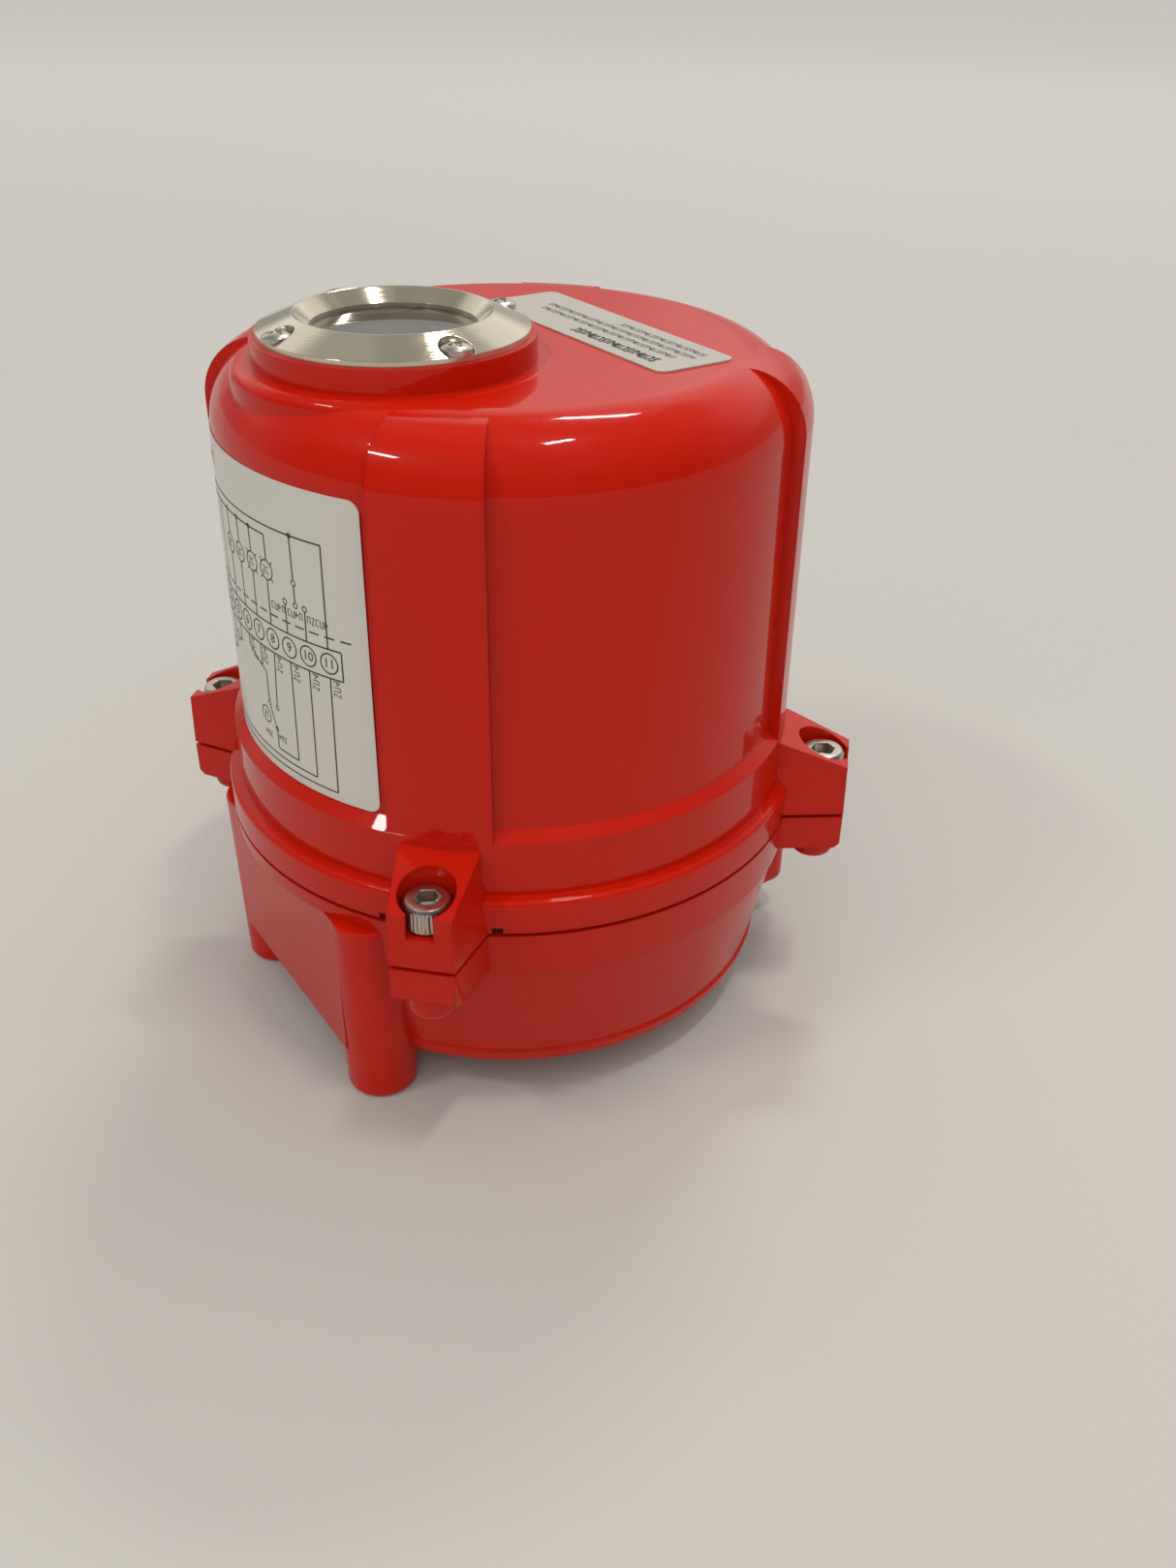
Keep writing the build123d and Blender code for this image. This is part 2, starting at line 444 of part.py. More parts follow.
# ---- output shaft and gear train ----------------------------------------------
def output_parts():
    shaft = post(SHAFT_R, 4.5, FLOOR_TOP + 4.0) + post(SHAFT_HUB_R, 4.5, SECTOR_Z + SECTOR_T + 1.4)
    shaft += post(SHAFT_NECK_R, 20, PLATE_Z + PLATE_T + 1.5) + post(SHAFT_TOP_R, 20, SHAFT_TOP)
    square = block(-SQUARE_DRIVE / 2, SQUARE_DRIVE / 2, -SQUARE_DRIVE / 2, SQUARE_DRIVE / 2,
                   0, 4.5 + DRIVE_DEPTH)
    shaft -= square
    shaft -= post(STEM_R + SEAT, SHAFT_TOP - 8, SHAFT_TOP + 1)
    key_room = block(SHAFT_HUB_R - KEY_H / 2, SHAFT_HUB_R + KEY_H / 2, -KEY_W / 2, KEY_W / 2,
                     SECTOR_Z + 0.5, SECTOR_Z + SECTOR_T - 0.5)
    turn = Rot(0, 0, SECTOR_REST)
    shaft -= turn * key_room
    groove_z = SECTOR_Z + SECTOR_T + 0.1
    shaft -= tube(SHAFT_HUB_R - 0.7, SHAFT_HUB_R + 1, groove_z, groove_z + 1.1)
    clip = tube(SHAFT_HUB_R - 0.65, SHAFT_HUB_R + 2.2, groove_z + 0.05, groove_z + 1.05)
    clip -= block(0, 20, -3.5, 3.5, groove_z - 1, groove_z + 2)

    pitch = 360 / SECTOR_TEETH
    root_r = SECTOR_M * (SECTOR_TEETH / 2 - DEDENDUM)
    blank = gear(SECTOR_TEETH, SECTOR_M, SECTOR_Z, SECTOR_Z + SECTOR_T, pitch / 2)
    spread = [polar(60, a) for a in (-SECTOR_HALF, -20, 20, SECTOR_HALF)]
    sector = blank & prism([(0, 0)] + spread, SECTOR_Z - 1, SECTOR_Z + SECTOR_T + 1)
    sector += post(SHAFT_HUB_R + 6.0, SECTOR_Z, SECTOR_Z + SECTOR_T)
    for a in (-32, 0, 32):
        sector -= post(4.2, SECTOR_Z - 1, SECTOR_Z + SECTOR_T + 1, polar(root_r - 8.2, a))
    sector -= post(SHAFT_HUB_R + SEAT, SECTOR_Z - 1, SECTOR_Z + SECTOR_T + 1)
    sector -= block(0, SHAFT_HUB_R + KEY_H / 2 + 0.03, -KEY_W / 2 - 0.03, KEY_W / 2 + 0.03,
                    SECTOR_Z - 1, SECTOR_Z + SECTOR_T + 1)
    key = block(SHAFT_HUB_R - KEY_H / 2 + 0.03, SHAFT_HUB_R + KEY_H / 2, -KEY_W / 2 + 0.03,
                KEY_W / 2 - 0.03, SECTOR_Z + 0.55, SECTOR_Z + SECTOR_T - 0.55)

    cams = {}
    for name, level, lobe in (("close_cam", 0, 100.0), ("open_cam", 1, 10.0)):
        z = CAM_Z + level * (CAM_T + CAM_GAP)
        cam = post(CAM_R, z, z + CAM_T)
        horn = [polar(30, lobe + d) for d in (-24, 0, 24)]
        cam += post(LOBE_R, z, z + CAM_T) & prism([(0, 0)] + horn, z, z + CAM_T)
        cam += post(CAM_R - 2, z + CAM_T, z + CAM_T + CAM_GAP - 0.05)
        cam -= post(SHAFT_TOP_R + SEAT, z - 1, z + CAM_T + CAM_GAP + 1)
        cams[name] = cam
    nut_z = CAM_Z + 2 * (CAM_T + CAM_GAP)
    nut = hexagon(17.0, nut_z, nut_z + 4.5) - post(SHAFT_TOP_R + SEAT, nut_z - 1, nut_z + 6)
    spacer = tube(SHAFT_TOP_R + SEAT, CAM_R - 2, PLATE_Z + PLATE_T + 1.6, CAM_Z - 0.05)

    stem = post(STEM_R, SHAFT_TOP - 8, DIAL_Z - 0.05) + post(STEM_R + 2, DIAL_Z - 4, DIAL_Z - 0.05)
    dial = post(SIGHT_R - 1.9, DIAL_Z, DIAL_Z + 1.0)
    dial += block(-10.0, 10.0, -1.3, 1.3, DIAL_Z + 0.8, DIAL_Z + 1.5)
    bush = tube(SHAFT_R + RUN, SHAFT_R + BUSH_T - SEAT, 6.4, FLOOR_TOP + 3.6)
    washer = tube(SHAFT_R + 0.1, SHAFT_R + 4.5, FLOOR_TOP + 3.6, SECTOR_Z - 0.2)
    seal = tube(SHAFT_R + 0.04, SHAFT_R + BUSH_T - 0.04, 4.4, 6.3)
    neck_bush = tube(SHAFT_NECK_R + RUN, SHAFT_NECK_R + BUSH_T, PLATE_Z - 1, DECK)
    return {"output_shaft": shaft, "sector_gear": turn * sector, "drive_key": turn * key,
            "shaft_circlip": clip, **cams, "cam_nut": nut, "cam_spacer": spacer,
            "indicator_stem": stem, "indicator_dial": dial, "output_bush": bush,
            "thrust_washer": washer, "output_seal": seal, "upper_bush": neck_bush}


def train():
    sector_phase = 0.0
    pinion_2_phase = mated_phase(0, SECTOR_TEETH, sector_phase, PINION_TEETH)
    wheel_2_phase = ANGLE_21
    pinion_1_phase = mated_phase(ANGLE_21, WHEEL_2_TEETH, wheel_2_phase, PINION_TEETH)
    wheel_1_phase = ANGLE_1M
    motor_phase = mated_phase(ANGLE_1M, WHEEL_1_TEETH, wheel_1_phase, PINION_TEETH)
    hand_phase = mated_phase(ANGLE_2H, WHEEL_2_TEETH, wheel_2_phase, MANUAL_TEETH)

    top_2 = WHEEL_2_Z + WHEEL_2_T
    gear_2 = gear(PINION_TEETH, SECTOR_M, SECTOR_Z - 0.5, WHEEL_2_Z + 0.1, pinion_2_phase, AXLE_2)
    gear_2 += gear(WHEEL_2_TEETH, WHEEL_2_M, WHEEL_2_Z, top_2, wheel_2_phase, AXLE_2)
    gear_2 -= post(AXLE_2_R + RUN, 0, 60, AXLE_2)
    axle_2 = post(AXLE_2_R, FLOOR_Z + 2.1, PLATE_Z + PLATE_T, AXLE_2)
    clip_2 = tube(AXLE_2_R + 0.02, AXLE_2_R + 1.1, top_2 + 0.1, top_2 + 0.7, AXLE_2)

    gear_1 = gear(PINION_TEETH, WHEEL_2_M, WHEEL_2_Z - 0.3, WHEEL_1_Z + 0.1, pinion_1_phase, AXLE_1)
    gear_1 += gear(WHEEL_1_TEETH, WHEEL_1_M, WHEEL_1_Z, WHEEL_1_Z + WHEEL_1_T, wheel_1_phase, AXLE_1)
    gear_1 += post(5.0, WHEEL_1_Z, PLATE_Z - 0.2, AXLE_1)
    gear_1 -= post(AXLE_1_R + RUN, 0, 60, AXLE_1)
    axle_1 = post(AXLE_1_R, FLOOR_Z + 2.1, PLATE_Z + PLATE_T, AXLE_1)

    rotor = post(MOTOR_SHAFT_R, WHEEL_1_Z - 0.4, PLATE_Z + PLATE_T + 12, MOTOR)
    rotor += gear(PINION_TEETH, WHEEL_1_M, WHEEL_1_Z - 0.2, WHEEL_1_Z + WHEEL_1_T + 0.4,
                  motor_phase, MOTOR)

    hand = post(HAND_R, FLOOR_Z + 0.6, PLATE_Z - 0.5, HAND) + post(2.5, 30, PLATE_Z + PLATE_T, HAND)
    hand += post(HAND_R + 2.5, FLOOR_TOP + 6.2, WHEEL_2_Z - 0.5, HAND)
    hand -= hexagon(4.0, FLOOR_Z - 1, FLOOR_Z + 5.5, HAND)
    hand_gear = gear(MANUAL_TEETH, WHEEL_2_M, WHEEL_2_Z - 0.4, top_2 + 0.3, hand_phase, HAND)
    hand_gear -= post(HAND_R + SEAT, 0, 60, HAND)
    hand_seal = tube(HAND_R + 0.04, HAND_R + 1.76, FLOOR_Z + 0.7, FLOOR_Z + 2.1, HAND)
    hand_cap = post(HAND_R + 4.5, FLOOR_Z - 1.6, FLOOR_Z, HAND)
    hand_cap = fillet(rim(hand_cap, HAND_R + 4.5, FLOOR_Z - 1.6), 1.0)
    stops = [post(STOP_R, FLOOR_TOP - 2.9, SECTOR_Z + SECTOR_T, polar(STOP_CIRCLE, s * STOP_ANGLE))
             for s in (-1, 1)]
    return {"gear_2": gear_2, "gear_2_axle": axle_2, "gear_2_clip": clip_2, "gear_1": gear_1,
            "gear_1_axle": axle_1, "motor_shaft": rotor, "hand_drive_shaft": hand,
            "hand_drive_gear": hand_gear, "hand_drive_seal": hand_seal,
            "hand_drive_cap": hand_cap, "end_stop_pins": group(stops)}


# ---- plate and what stands on it ----------------------------------------------
def gear_plate():
    plate = HOUSING * post(PLATE_R, PLATE_Z, DECK)
    panel = FLAT_X + BASE_T + PANEL_GAP
    plate -= block(FLAT_X - 40, panel, -PLATE_R, PLATE_R, PLATE_Z - 1, DECK + 1)
    plate -= post(SHAFT_NECK_R + BUSH_T + SEAT, PLATE_Z - 1, DECK + 1)
    plate -= post(AXLE_2_R + SEAT, PLATE_Z - 1, DECK + 1, AXLE_2)
    plate -= post(AXLE_1_R + SEAT, PLATE_Z - 1, DECK + 1, AXLE_1)
    plate -= post(2.5 + RUN, PLATE_Z - 1, DECK + 1, HAND)
    plate -= post(6.6, PLATE_Z - 1, DECK + 1, MOTOR)
    for at in COLUMNS:
        plate -= post(2.2, PLATE_Z - 1, DECK + 1, at)
    for side in (0, 180):
        plate -= post(TAP_M3_R, PLATE_Z - 1, DECK + 1, polar(LUG_R, LUG_ANGLE + side, MOTOR))
    for at in switch_feet() + terminal_feet() + [clip_foot()]:
        plate -= post(TAP_M3_R, PLATE_Z - 1, DECK + 1, at)
    # pass for the wires from the cable entries
    pass_x = HOUSING_X + PLATE_R
    plate -= block(pass_x - 5.65, pass_x + 5, -9, 9, PLATE_Z - 1, DECK + 1)
    screws = [pan_screw(TAP_M4_R - 0.04, 3.4, 2.4, DECK, 10.0, at) for at in COLUMNS]
    return {"gear_plate": plate, "plate_screws": group(screws)}


def motor():
    body = post(MOTOR_R, DECK, DECK + MOTOR_H, MOTOR)
    body = fillet(rim(body, MOTOR_R, DECK + MOTOR_H), 1.0)
    for k in range(24):
        rib_at = polar(MOTOR_R, k * 15 + 7.5, MOTOR)
        body -= post(0.6, DECK + 9, DECK + MOTOR_H - 7, rib_at)
    lug = block(-LUG_R - 3.5, LUG_R + 3.5, -4.5, 4.5, DECK, DECK + 2.5)
    body += Pos(MOTOR[0], MOTOR[1], 0) * Rot(0, 0, LUG_ANGLE) * lug
    body += post(6.4, PLATE_Z + 0.4, DECK + 1, MOTOR)
    body -= post(MOTOR_SHAFT_R + RUN, 0, DECK + 12.5, MOTOR)
    screws = []
    for side in (0, 180):
        at = polar(LUG_R, LUG_ANGLE + side, MOTOR)
        body -= post(CLEAR_M3_R, DECK - 1, DECK + 5, at)
        screws.append(pan_screw(TAP_M3_R - 0.04, 2.6, 1.6, DECK + 2.5, 5.4, at))
    cap = post(MOTOR_R - 4, DECK + MOTOR_H, DECK + MOTOR_H + 3, MOTOR)
    cap = fillet(rim(cap, MOTOR_R - 4, DECK + MOTOR_H + 3), 1.2)
    return {"motor_body": body, "motor_end_cap": cap, "motor_screws": group(screws)}


def clip_foot():
    return (CAPACITOR[0], CAPACITOR[1] - CAPACITOR_R - 4.5)


def capacitor():
    can = post(CAPACITOR_R, DECK + 0.3, DECK + CAPACITOR_H, CAPACITOR)
    can = fillet(rim(can, CAPACITOR_R, DECK + CAPACITOR_H), 1.5)
    for dx in (-4, 4):
        x, y = CAPACITOR[0] + dx, CAPACITOR[1]
        can += block(x - 0.4, x + 0.4, y - 3, y + 3, DECK + CAPACITOR_H - 0.5, DECK + CAPACITOR_H + 6)
    x, y = clip_foot()
    clip = tube(CAPACITOR_R + SEAT, CAPACITOR_R + 1.0, DECK + 8, DECK + 16, CAPACITOR)
    clip += block(x - 4, x + 4, y + 3, y + 4.2, DECK, DECK + 12)
    clip += block(x - 4, x + 4, y - 3.2, y + 4.2, DECK, DECK + 1.2)
    clip -= post(CAPACITOR_R + SEAT, DECK - 1, DECK + 20, CAPACITOR)
    clip -= post(CLEAR_M3_R, DECK - 1, DECK + 5, (x, y))
    screw = pan_screw(TAP_M3_R - 0.04, 2.6, 1.6, DECK + 1.2, 4.1, (x, y))
    return {"capacitor": can, "capacitor_clip": clip}, [screw]


def switch_feet():
    return [(x, SWITCH_Y[1] + 6) for x in (SWITCH_X[0] + 4, SWITCH_X[1] - 4)]


def switches():
    """Two snap switches, one beside each cam, on one upright bracket."""
    out = {}
    x0, x1 = SWITCH_X
    y0, y1 = SWITCH_Y
    px, py = LEVER_PIVOT
    screws, pins = [], []
    high = CAM_Z + 2 * CAM_T + CAM_GAP + 2
    bracket = block(x0, x1, y1, y1 + 1.6, DECK, high)
    bracket += block(x0, x1, y1, y1 + 9.5, DECK, DECK + 1.6)
    for name, level in (("close", 0), ("open", 1)):
        z = CAM_Z + level * (CAM_T + CAM_GAP)
        body = block(x0, x1, y0, y1 - 0.02, z, z + SWITCH_T)
        body += block(px - 1.6, px + 1.6, py - 1.4, y0 + 1, z, z + 0.9)
        body += block(px - 1.6, px + 1.6, py - 1.4, y0 + 1, z + SWITCH_T - 0.9, z + SWITCH_T)
        body -= post(PIN_R + SEAT, z - 1, z + SWITCH_T + 1, (px, py))
        out[name + "_switch"] = body
        arm = block(px, x1 - 1.0, py - 0.35, py + 0.35, z + 1.2, z + SWITCH_T - 1.2)
        arm += post(1.5, z + 1.2, z + SWITCH_T - 1.2, (px, py))
        arm += post(1.3, z + 1.2, z + SWITCH_T - 1.2, (x1 - 2.0, py - 0.7))
        arm -= post(PIN_R + RUN, z - 1, z + SWITCH_T + 1, (px, py))
        out[name + "_switch_lever"] = arm
        pins.append(post(PIN_R, z, z + SWITCH_T, (px, py)))
        for x in (x0 + 5, x1 - 5):
            hole = Pos(x, (y0 + y1) / 2, z + SWITCH_T / 2) * Rot(90, 0, 0) * Cylinder(1.1, 40)
            out[name + "_switch"] -= hole
            bracket -= hole
            shank = Rot(90, 0, 0) * Cylinder(1.05, y1 + 1.6 - y0 - 0.2)
            head = Rot(90, 0, 0) * Cylinder(1.9, 1.2)
            screw = Pos(x, (y0 + 0.2 + y1 + 1.6) / 2, z + SWITCH_T / 2) * shank
            screw += Pos(x, y1 + 1.6 + 0.6, z + SWITCH_T / 2) * head
            screws.append(screw)
    feet = []
    for at in switch_feet():
        bracket -= post(CLEAR_M3_R, DECK - 1, DECK + 5, at)
        feet.append(pan_screw(TAP_M3_R - 0.04, 2.6, 1.6, DECK + 1.6, 4.4, at))
    out["switch_bracket"] = bracket
    out["switch_screws"] = group(screws)
    out["switch_pins"] = group(pins)
    return out, feet


def terminal_feet():
    end = TERMINAL_X + TERMINAL_PITCH * TERMINALS
    return [(x, TERMINAL_Y[1] + 3.5) for x in (TERMINAL_X + 8, end - 8)]


def terminal_strip():
    y0, y1 = TERMINAL_Y
    end = TERMINAL_X + TERMINAL_PITCH * TERMINALS
    strip = block(TERMINAL_X, end, y0, y1, TERMINAL_Z, TERMINAL_Z + 11)
    strip -= block(TERMINAL_X - 1, end + 1, y1 - 3.2, y1 + 1, TERMINAL_Z + 6, TERMINAL_Z + 12)
    screws = []
    for k in range(TERMINALS):
        x = TERMINAL_X + TERMINAL_PITCH * (k + 0.5)
        y = (y0 + y1) / 2 - 1.6
        strip -= post(1.7, TERMINAL_Z + 3, TERMINAL_Z + 12, (x, y))
        port = block(x - 1.4, x + 1.4, y0 - 1, y, TERMINAL_Z + 3, TERMINAL_Z + 6.4)
        strip -= port
        screw = post(1.55, TERMINAL_Z + 7.2, TERMINAL_Z + 9.4, (x, y))
        screw += post(1.0, TERMINAL_Z + 3.6, TERMINAL_Z + 7.4, (x, y))
        screw -= block(x - 2, x + 2, y - 0.25, y + 0.25, TERMINAL_Z + 8.6, TERMINAL_Z + 10)
        screws.append(screw)
    bracket = block(TERMINAL_X, end, y0 + 1, y1, TERMINAL_Z - 1.5, TERMINAL_Z)
    bracket += block(TERMINAL_X, end, y1 - 1.5, y1, DECK, TERMINAL_Z)
    bracket += block(TERMINAL_X, end, y1 - 1.5, y1 + 7, DECK, DECK + 1.5)
    feet = []
    for at in terminal_feet():
        bracket -= post(CLEAR_M3_R, DECK - 1, DECK + 5, at)
        feet.append(pan_screw(TAP_M3_R - 0.04, 2.6, 1.6, DECK + 1.5, 4.4, at))
    out = {"terminal_strip": strip, "terminal_screws": group(screws), "terminal_bracket": bracket}
    return out, feet


def small_items():
    x, y = HEATER
    heater = block(x - 5, x + 5, y - 4, y + 4, DECK, DECK + 12)
    for dx in (-3, 0, 3):
        heater -= block(x + dx - 0.6, x + dx + 0.6, y - 5, y + 5, DECK + 4, DECK + 13)
    ground = pan_screw(TAP_M4_R - 0.04, 3.4, 2.4, FLOOR_TOP, 3.2, GROUND)
    plug = Rot(0, 90, 0) * Cylinder(ENTRY_R - 0.05, 8)
    plug = Pos(BLOCK_X - 4, ENTRY_Y, ENTRY_Z) * plug
    head = Pos(BLOCK_X + 1.0 + 1.75, ENTRY_Y, ENTRY_Z) * Rot(0, 90, 0) * Cylinder(11.5, 3.5)
    edge = [e for e in head.edges().filter_by(GeomType.CIRCLE) if e.center().X > BLOCK_X + 3]
    head = fillet(edge, 1.0)
    slot = block(BLOCK_X + 2.8, BLOCK_X + 6, ENTRY_Y - 8, ENTRY_Y + 8, ENTRY_Z - 1, ENTRY_Z + 1)
    neck = Pos(BLOCK_X + 0.5, ENTRY_Y, ENTRY_Z) * Rot(0, 90, 0) * Cylinder(ENTRY_R - 0.05, 3)
    plug = plug + neck + head - slot
    ring = Pos(BLOCK_X + 0.5, ENTRY_Y, ENTRY_Z) * Rot(0, 90, 0) * Cylinder(11.0, 1.0)
    ring -= Pos(BLOCK_X, ENTRY_Y, ENTRY_Z) * Rot(0, 90, 0) * Cylinder(ENTRY_R + 0.1, 8)
    return {"heater": heater, "ground_screw": ground, "entry_plug": plug, "entry_plug_seal": ring}


def build():
    parts = {"base": base(), "cover": cover()}
    for make in (joint_pieces, window, labels, output_parts, train, gear_plate, motor, small_items):
        parts.update(make())
    bracket_screws = []
    for make in (capacitor, switches, terminal_strip):
        pieces, feet = make()
        parts.update(pieces)
        bracket_screws += feet
    parts["bracket_screws"] = group(bracket_screws)
    return parts


parts = build()
os.makedirs("parts", exist_ok=True)
for node, shape in parts.items():
    export_step(shape, "parts/" + node + ".step")
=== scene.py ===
"""Looks of the quarter-turn valve actuator, built round its CAD frame. Lengths are metres."""
import math

import bmesh
import bpy
from mathutils import Matrix, Vector


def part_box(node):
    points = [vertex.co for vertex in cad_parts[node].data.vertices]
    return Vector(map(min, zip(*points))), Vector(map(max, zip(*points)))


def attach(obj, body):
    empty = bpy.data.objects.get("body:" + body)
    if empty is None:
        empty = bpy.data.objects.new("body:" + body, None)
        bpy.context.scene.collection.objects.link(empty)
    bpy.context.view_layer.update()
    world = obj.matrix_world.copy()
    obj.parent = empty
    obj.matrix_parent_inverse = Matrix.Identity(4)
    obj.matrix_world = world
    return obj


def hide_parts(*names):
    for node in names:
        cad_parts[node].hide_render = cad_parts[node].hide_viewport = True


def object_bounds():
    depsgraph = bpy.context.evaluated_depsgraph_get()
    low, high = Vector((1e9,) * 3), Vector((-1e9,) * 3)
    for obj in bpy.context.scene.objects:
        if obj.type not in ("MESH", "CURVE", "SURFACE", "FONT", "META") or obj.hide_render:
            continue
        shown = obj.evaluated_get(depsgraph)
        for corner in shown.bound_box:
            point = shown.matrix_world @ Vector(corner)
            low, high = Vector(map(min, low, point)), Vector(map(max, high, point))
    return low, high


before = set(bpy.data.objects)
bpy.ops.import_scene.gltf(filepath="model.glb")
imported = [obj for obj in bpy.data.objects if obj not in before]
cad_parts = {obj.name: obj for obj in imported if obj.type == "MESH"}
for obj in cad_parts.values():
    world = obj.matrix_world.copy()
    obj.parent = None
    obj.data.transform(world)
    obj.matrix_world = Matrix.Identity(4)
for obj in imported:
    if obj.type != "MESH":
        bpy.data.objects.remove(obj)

CAD_BOX = [list(corner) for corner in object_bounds()]
MM = 0.001


# ---- material nodes as expressions ----------------------------------------------
class Stuff:
    """One socket among a material's nodes. Arithmetic on it adds Math nodes."""

    def __init__(self, tree, socket):
        self.tree = tree
        self.socket = socket

    def node(self, kind, settings=None, inputs=None, out=0):
        """Adds a node: its settings first, then the values or links of its sockets."""
        made = self.tree.nodes.new("ShaderNode" + kind)
        for name, value in (settings or {}).items():
            if name == "stops":
                set_stops(made.color_ramp, value)
            else:
                setattr(made, name, value)
        for key, value in (inputs or {}).items():
            feed(self.tree, made.inputs[key], value)
        return Stuff(self.tree, made.outputs[out])

    def math(self, operation, *values):
        numbers = dict(enumerate((self,) + values))
        return self.node("Math", {"operation": operation}, numbers)

    def __add__(self, other):
        return self.math("ADD", other)

    def __sub__(self, other):
        return self.math("SUBTRACT", other)

    def __rsub__(self, other):
        return self.node("Math", {"operation": "SUBTRACT"}, {0: other, 1: self})

    def __mul__(self, other):
        return self.math("MULTIPLY", other)

    def __pow__(self, other):
        return self.math("POWER", other)

    __radd__ = __add__
    __rmul__ = __mul__

    def noise(self, scale, detail=3.0, rough=0.5, stretch=None):
        """Cloudy 0 to 1 pattern; scale is in waves per metre."""
        at = self
        if stretch:
            at = self.node("VectorMath", {"operation": "MULTIPLY"}, {0: self, 1: stretch})
        inputs = {"Vector": at, "Scale": scale, "Detail": detail, "Roughness": rough}
        return self.node("TexNoise", None, inputs)

    def cells(self, scale):
        return self.node("TexVoronoi", {"feature": "F1"}, {"Vector": self, "Scale": scale})

    def ramp(self, *stops):
        return self.node("ValToRGB", {"stops": stops}, {"Fac": self})

    def part(self, axis):
        return self.node("SeparateXYZ", None, {0: self}, out="XYZ".index(axis))

    def blend(self, low, high):
        """Colour from low to high as this value goes from 0 to 1."""
        inputs = {0: self, 6: colour(low), 7: colour(high)}
        return self.node("Mix", {"data_type": "RGBA", "clamp_factor": True}, inputs, out=2)

    def relief(self, depth, under=None):
        """Normal of a surface whose height is this value times depth."""
        inputs = {"Strength": 1.0, "Distance": depth, "Height": self}
        if under is not None:
            inputs["Normal"] = under
        return self.node("Bump", None, inputs)


def colour(value):
    return value if isinstance(value, Stuff) else tuple(value) + (1.0,)


def set_stops(ramp, stops):
    while len(ramp.elements) < len(stops):
        ramp.elements.new(0.5)
    for element, (place, value) in zip(ramp.elements, stops):
        element.position = place
        element.color = (value, value, value, 1.0)


def feed(tree, socket, value):
    if isinstance(value, Stuff):
        tree.links.new(value.socket, socket)
    else:
        socket.default_value = value


def finish(name, paint):
    """New material; paint gets its object coordinates and returns the shader's sockets.

    Clear among them is the share of light that goes straight through.
    """
    made = bpy.data.materials.new(name)
    made.use_nodes = True
    tree = made.node_tree
    tree.nodes.clear()
    end = tree.nodes.new("ShaderNodeOutputMaterial")
    skin = tree.nodes.new("ShaderNodeBsdfPrincipled")
    tree.links.new(skin.outputs[0], end.inputs[0])
    at = Stuff(tree, tree.nodes.new("ShaderNodeTexCoord").outputs["Object"])
    sockets = paint(at)
    clear = sockets.pop("Clear", None)
    if clear is not None:
        through = at.node("BsdfTransparent", None, {"Color": (0.97, 0.98, 0.96, 1.0)})
        pane = at.node("MixShader", None, {0: clear, 2: through})
        tree.links.new(skin.outputs[0], pane.socket.node.inputs[1])
        tree.links.new(pane.socket, end.inputs[0])
    for socket, value in sockets.items():
        feed(tree, skin.inputs[socket], value)
    return made


# ---- finishes ---------------------------------------------------------------------
def rounded(at, radius):
    """Normal of the surface with its sharp edges shaded as if rounded."""
    return at.node("Bevel", {"samples": 4}, {"Radius": radius})


def red_enamel(at):
    cloud = at.noise(14.0, 2.0)
    peel = at.noise(420.0, 2.0, 0.4)
    speck = at.noise(2600.0, 1.0)
    base = cloud.blend((0.480, 0.0080, 0.0012), (0.530, 0.0115, 0.0022))
    return {"Base Color": base, "Roughness": 0.26 + cloud * 0.06 + speck * 0.04,
            "Coat Weight": 0.50 + cloud * 0.14, "Coat Roughness": 0.035, "Coat IOR": 1.42,
            "Specular IOR Level": 0.04,
            "Normal": peel.relief(0.00008, rounded(at, 0.0006))}


def polished_steel(at):
    centre = WINDOW_AXIS
    off = at.node("VectorMath", {"operation": "SUBTRACT"}, {0: at, 1: (centre.x, centre.y, 0)})
    flat = at.node("VectorMath", {"operation": "MULTIPLY"}, {0: off, 1: (1, 1, 0)})
    reach = at.node("VectorMath", {"operation": "LENGTH"}, {0: flat}, out=1)
    rings = (reach * 9000.0).math("SINE")
    smear = at.noise(160.0, 3.0)
    return {"Base Color": smear.blend((0.57, 0.525, 0.40), (0.70, 0.655, 0.52)), "Metallic": 0.8,
            "Roughness": 0.07 + smear ** 2.0 * 0.10,
            "Normal": (rings * 0.5 + smear).relief(0.000004, rounded(at, 0.0002))}


def stainless(at):
    pits = at.noise(1500.0, 4.0, 0.65)
    tint = at.noise(300.0, 2.0)
    return {"Base Color": tint.blend((0.50, 0.47, 0.41), (0.66, 0.63, 0.57)), "Metallic": 1.0,
            "Roughness": 0.20 + pits * 0.22, "Normal": pits.relief(0.00003, rounded(at, 0.0002))}


def label_film(at):
    fleck = at.noise(1800.0, 2.0)
    sheen = at.noise(30.0, 2.0)
    return {"Base Color": sheen.blend((0.60, 0.585, 0.53), (0.66, 0.645, 0.59)),
            "Metallic": 0.12, "Roughness": 0.34 + fleck * 0.08, "Coat Weight": 0.15 + sheen * 0.1,
            "Coat Roughness": 0.2, "Normal": fleck.relief(0.000006)}


def sticker_film(at):
    fleck = at.noise(1400.0, 2.0)
    return {"Base Color": fleck.blend((0.40, 0.385, 0.34), (0.45, 0.435, 0.385)),
            "Roughness": 0.38 + fleck * 0.1, "Normal": fleck.relief(0.000006)}


def printed_ink(at):
    fade = at.noise(2500.0, 2.0)
    return {"Base Color": fade.blend((0.012, 0.011, 0.010), (0.045, 0.042, 0.038)),
            "Roughness": 0.45 + fade * 0.15}


def black_rubber(at):
    dust = at.noise(700.0, 4.0, 0.6)
    return {"Base Color": dust.blend((0.010, 0.010, 0.010), (0.040, 0.038, 0.036)),
            "Roughness": 0.62 + dust * 0.2, "Normal": dust.relief(0.00004)}


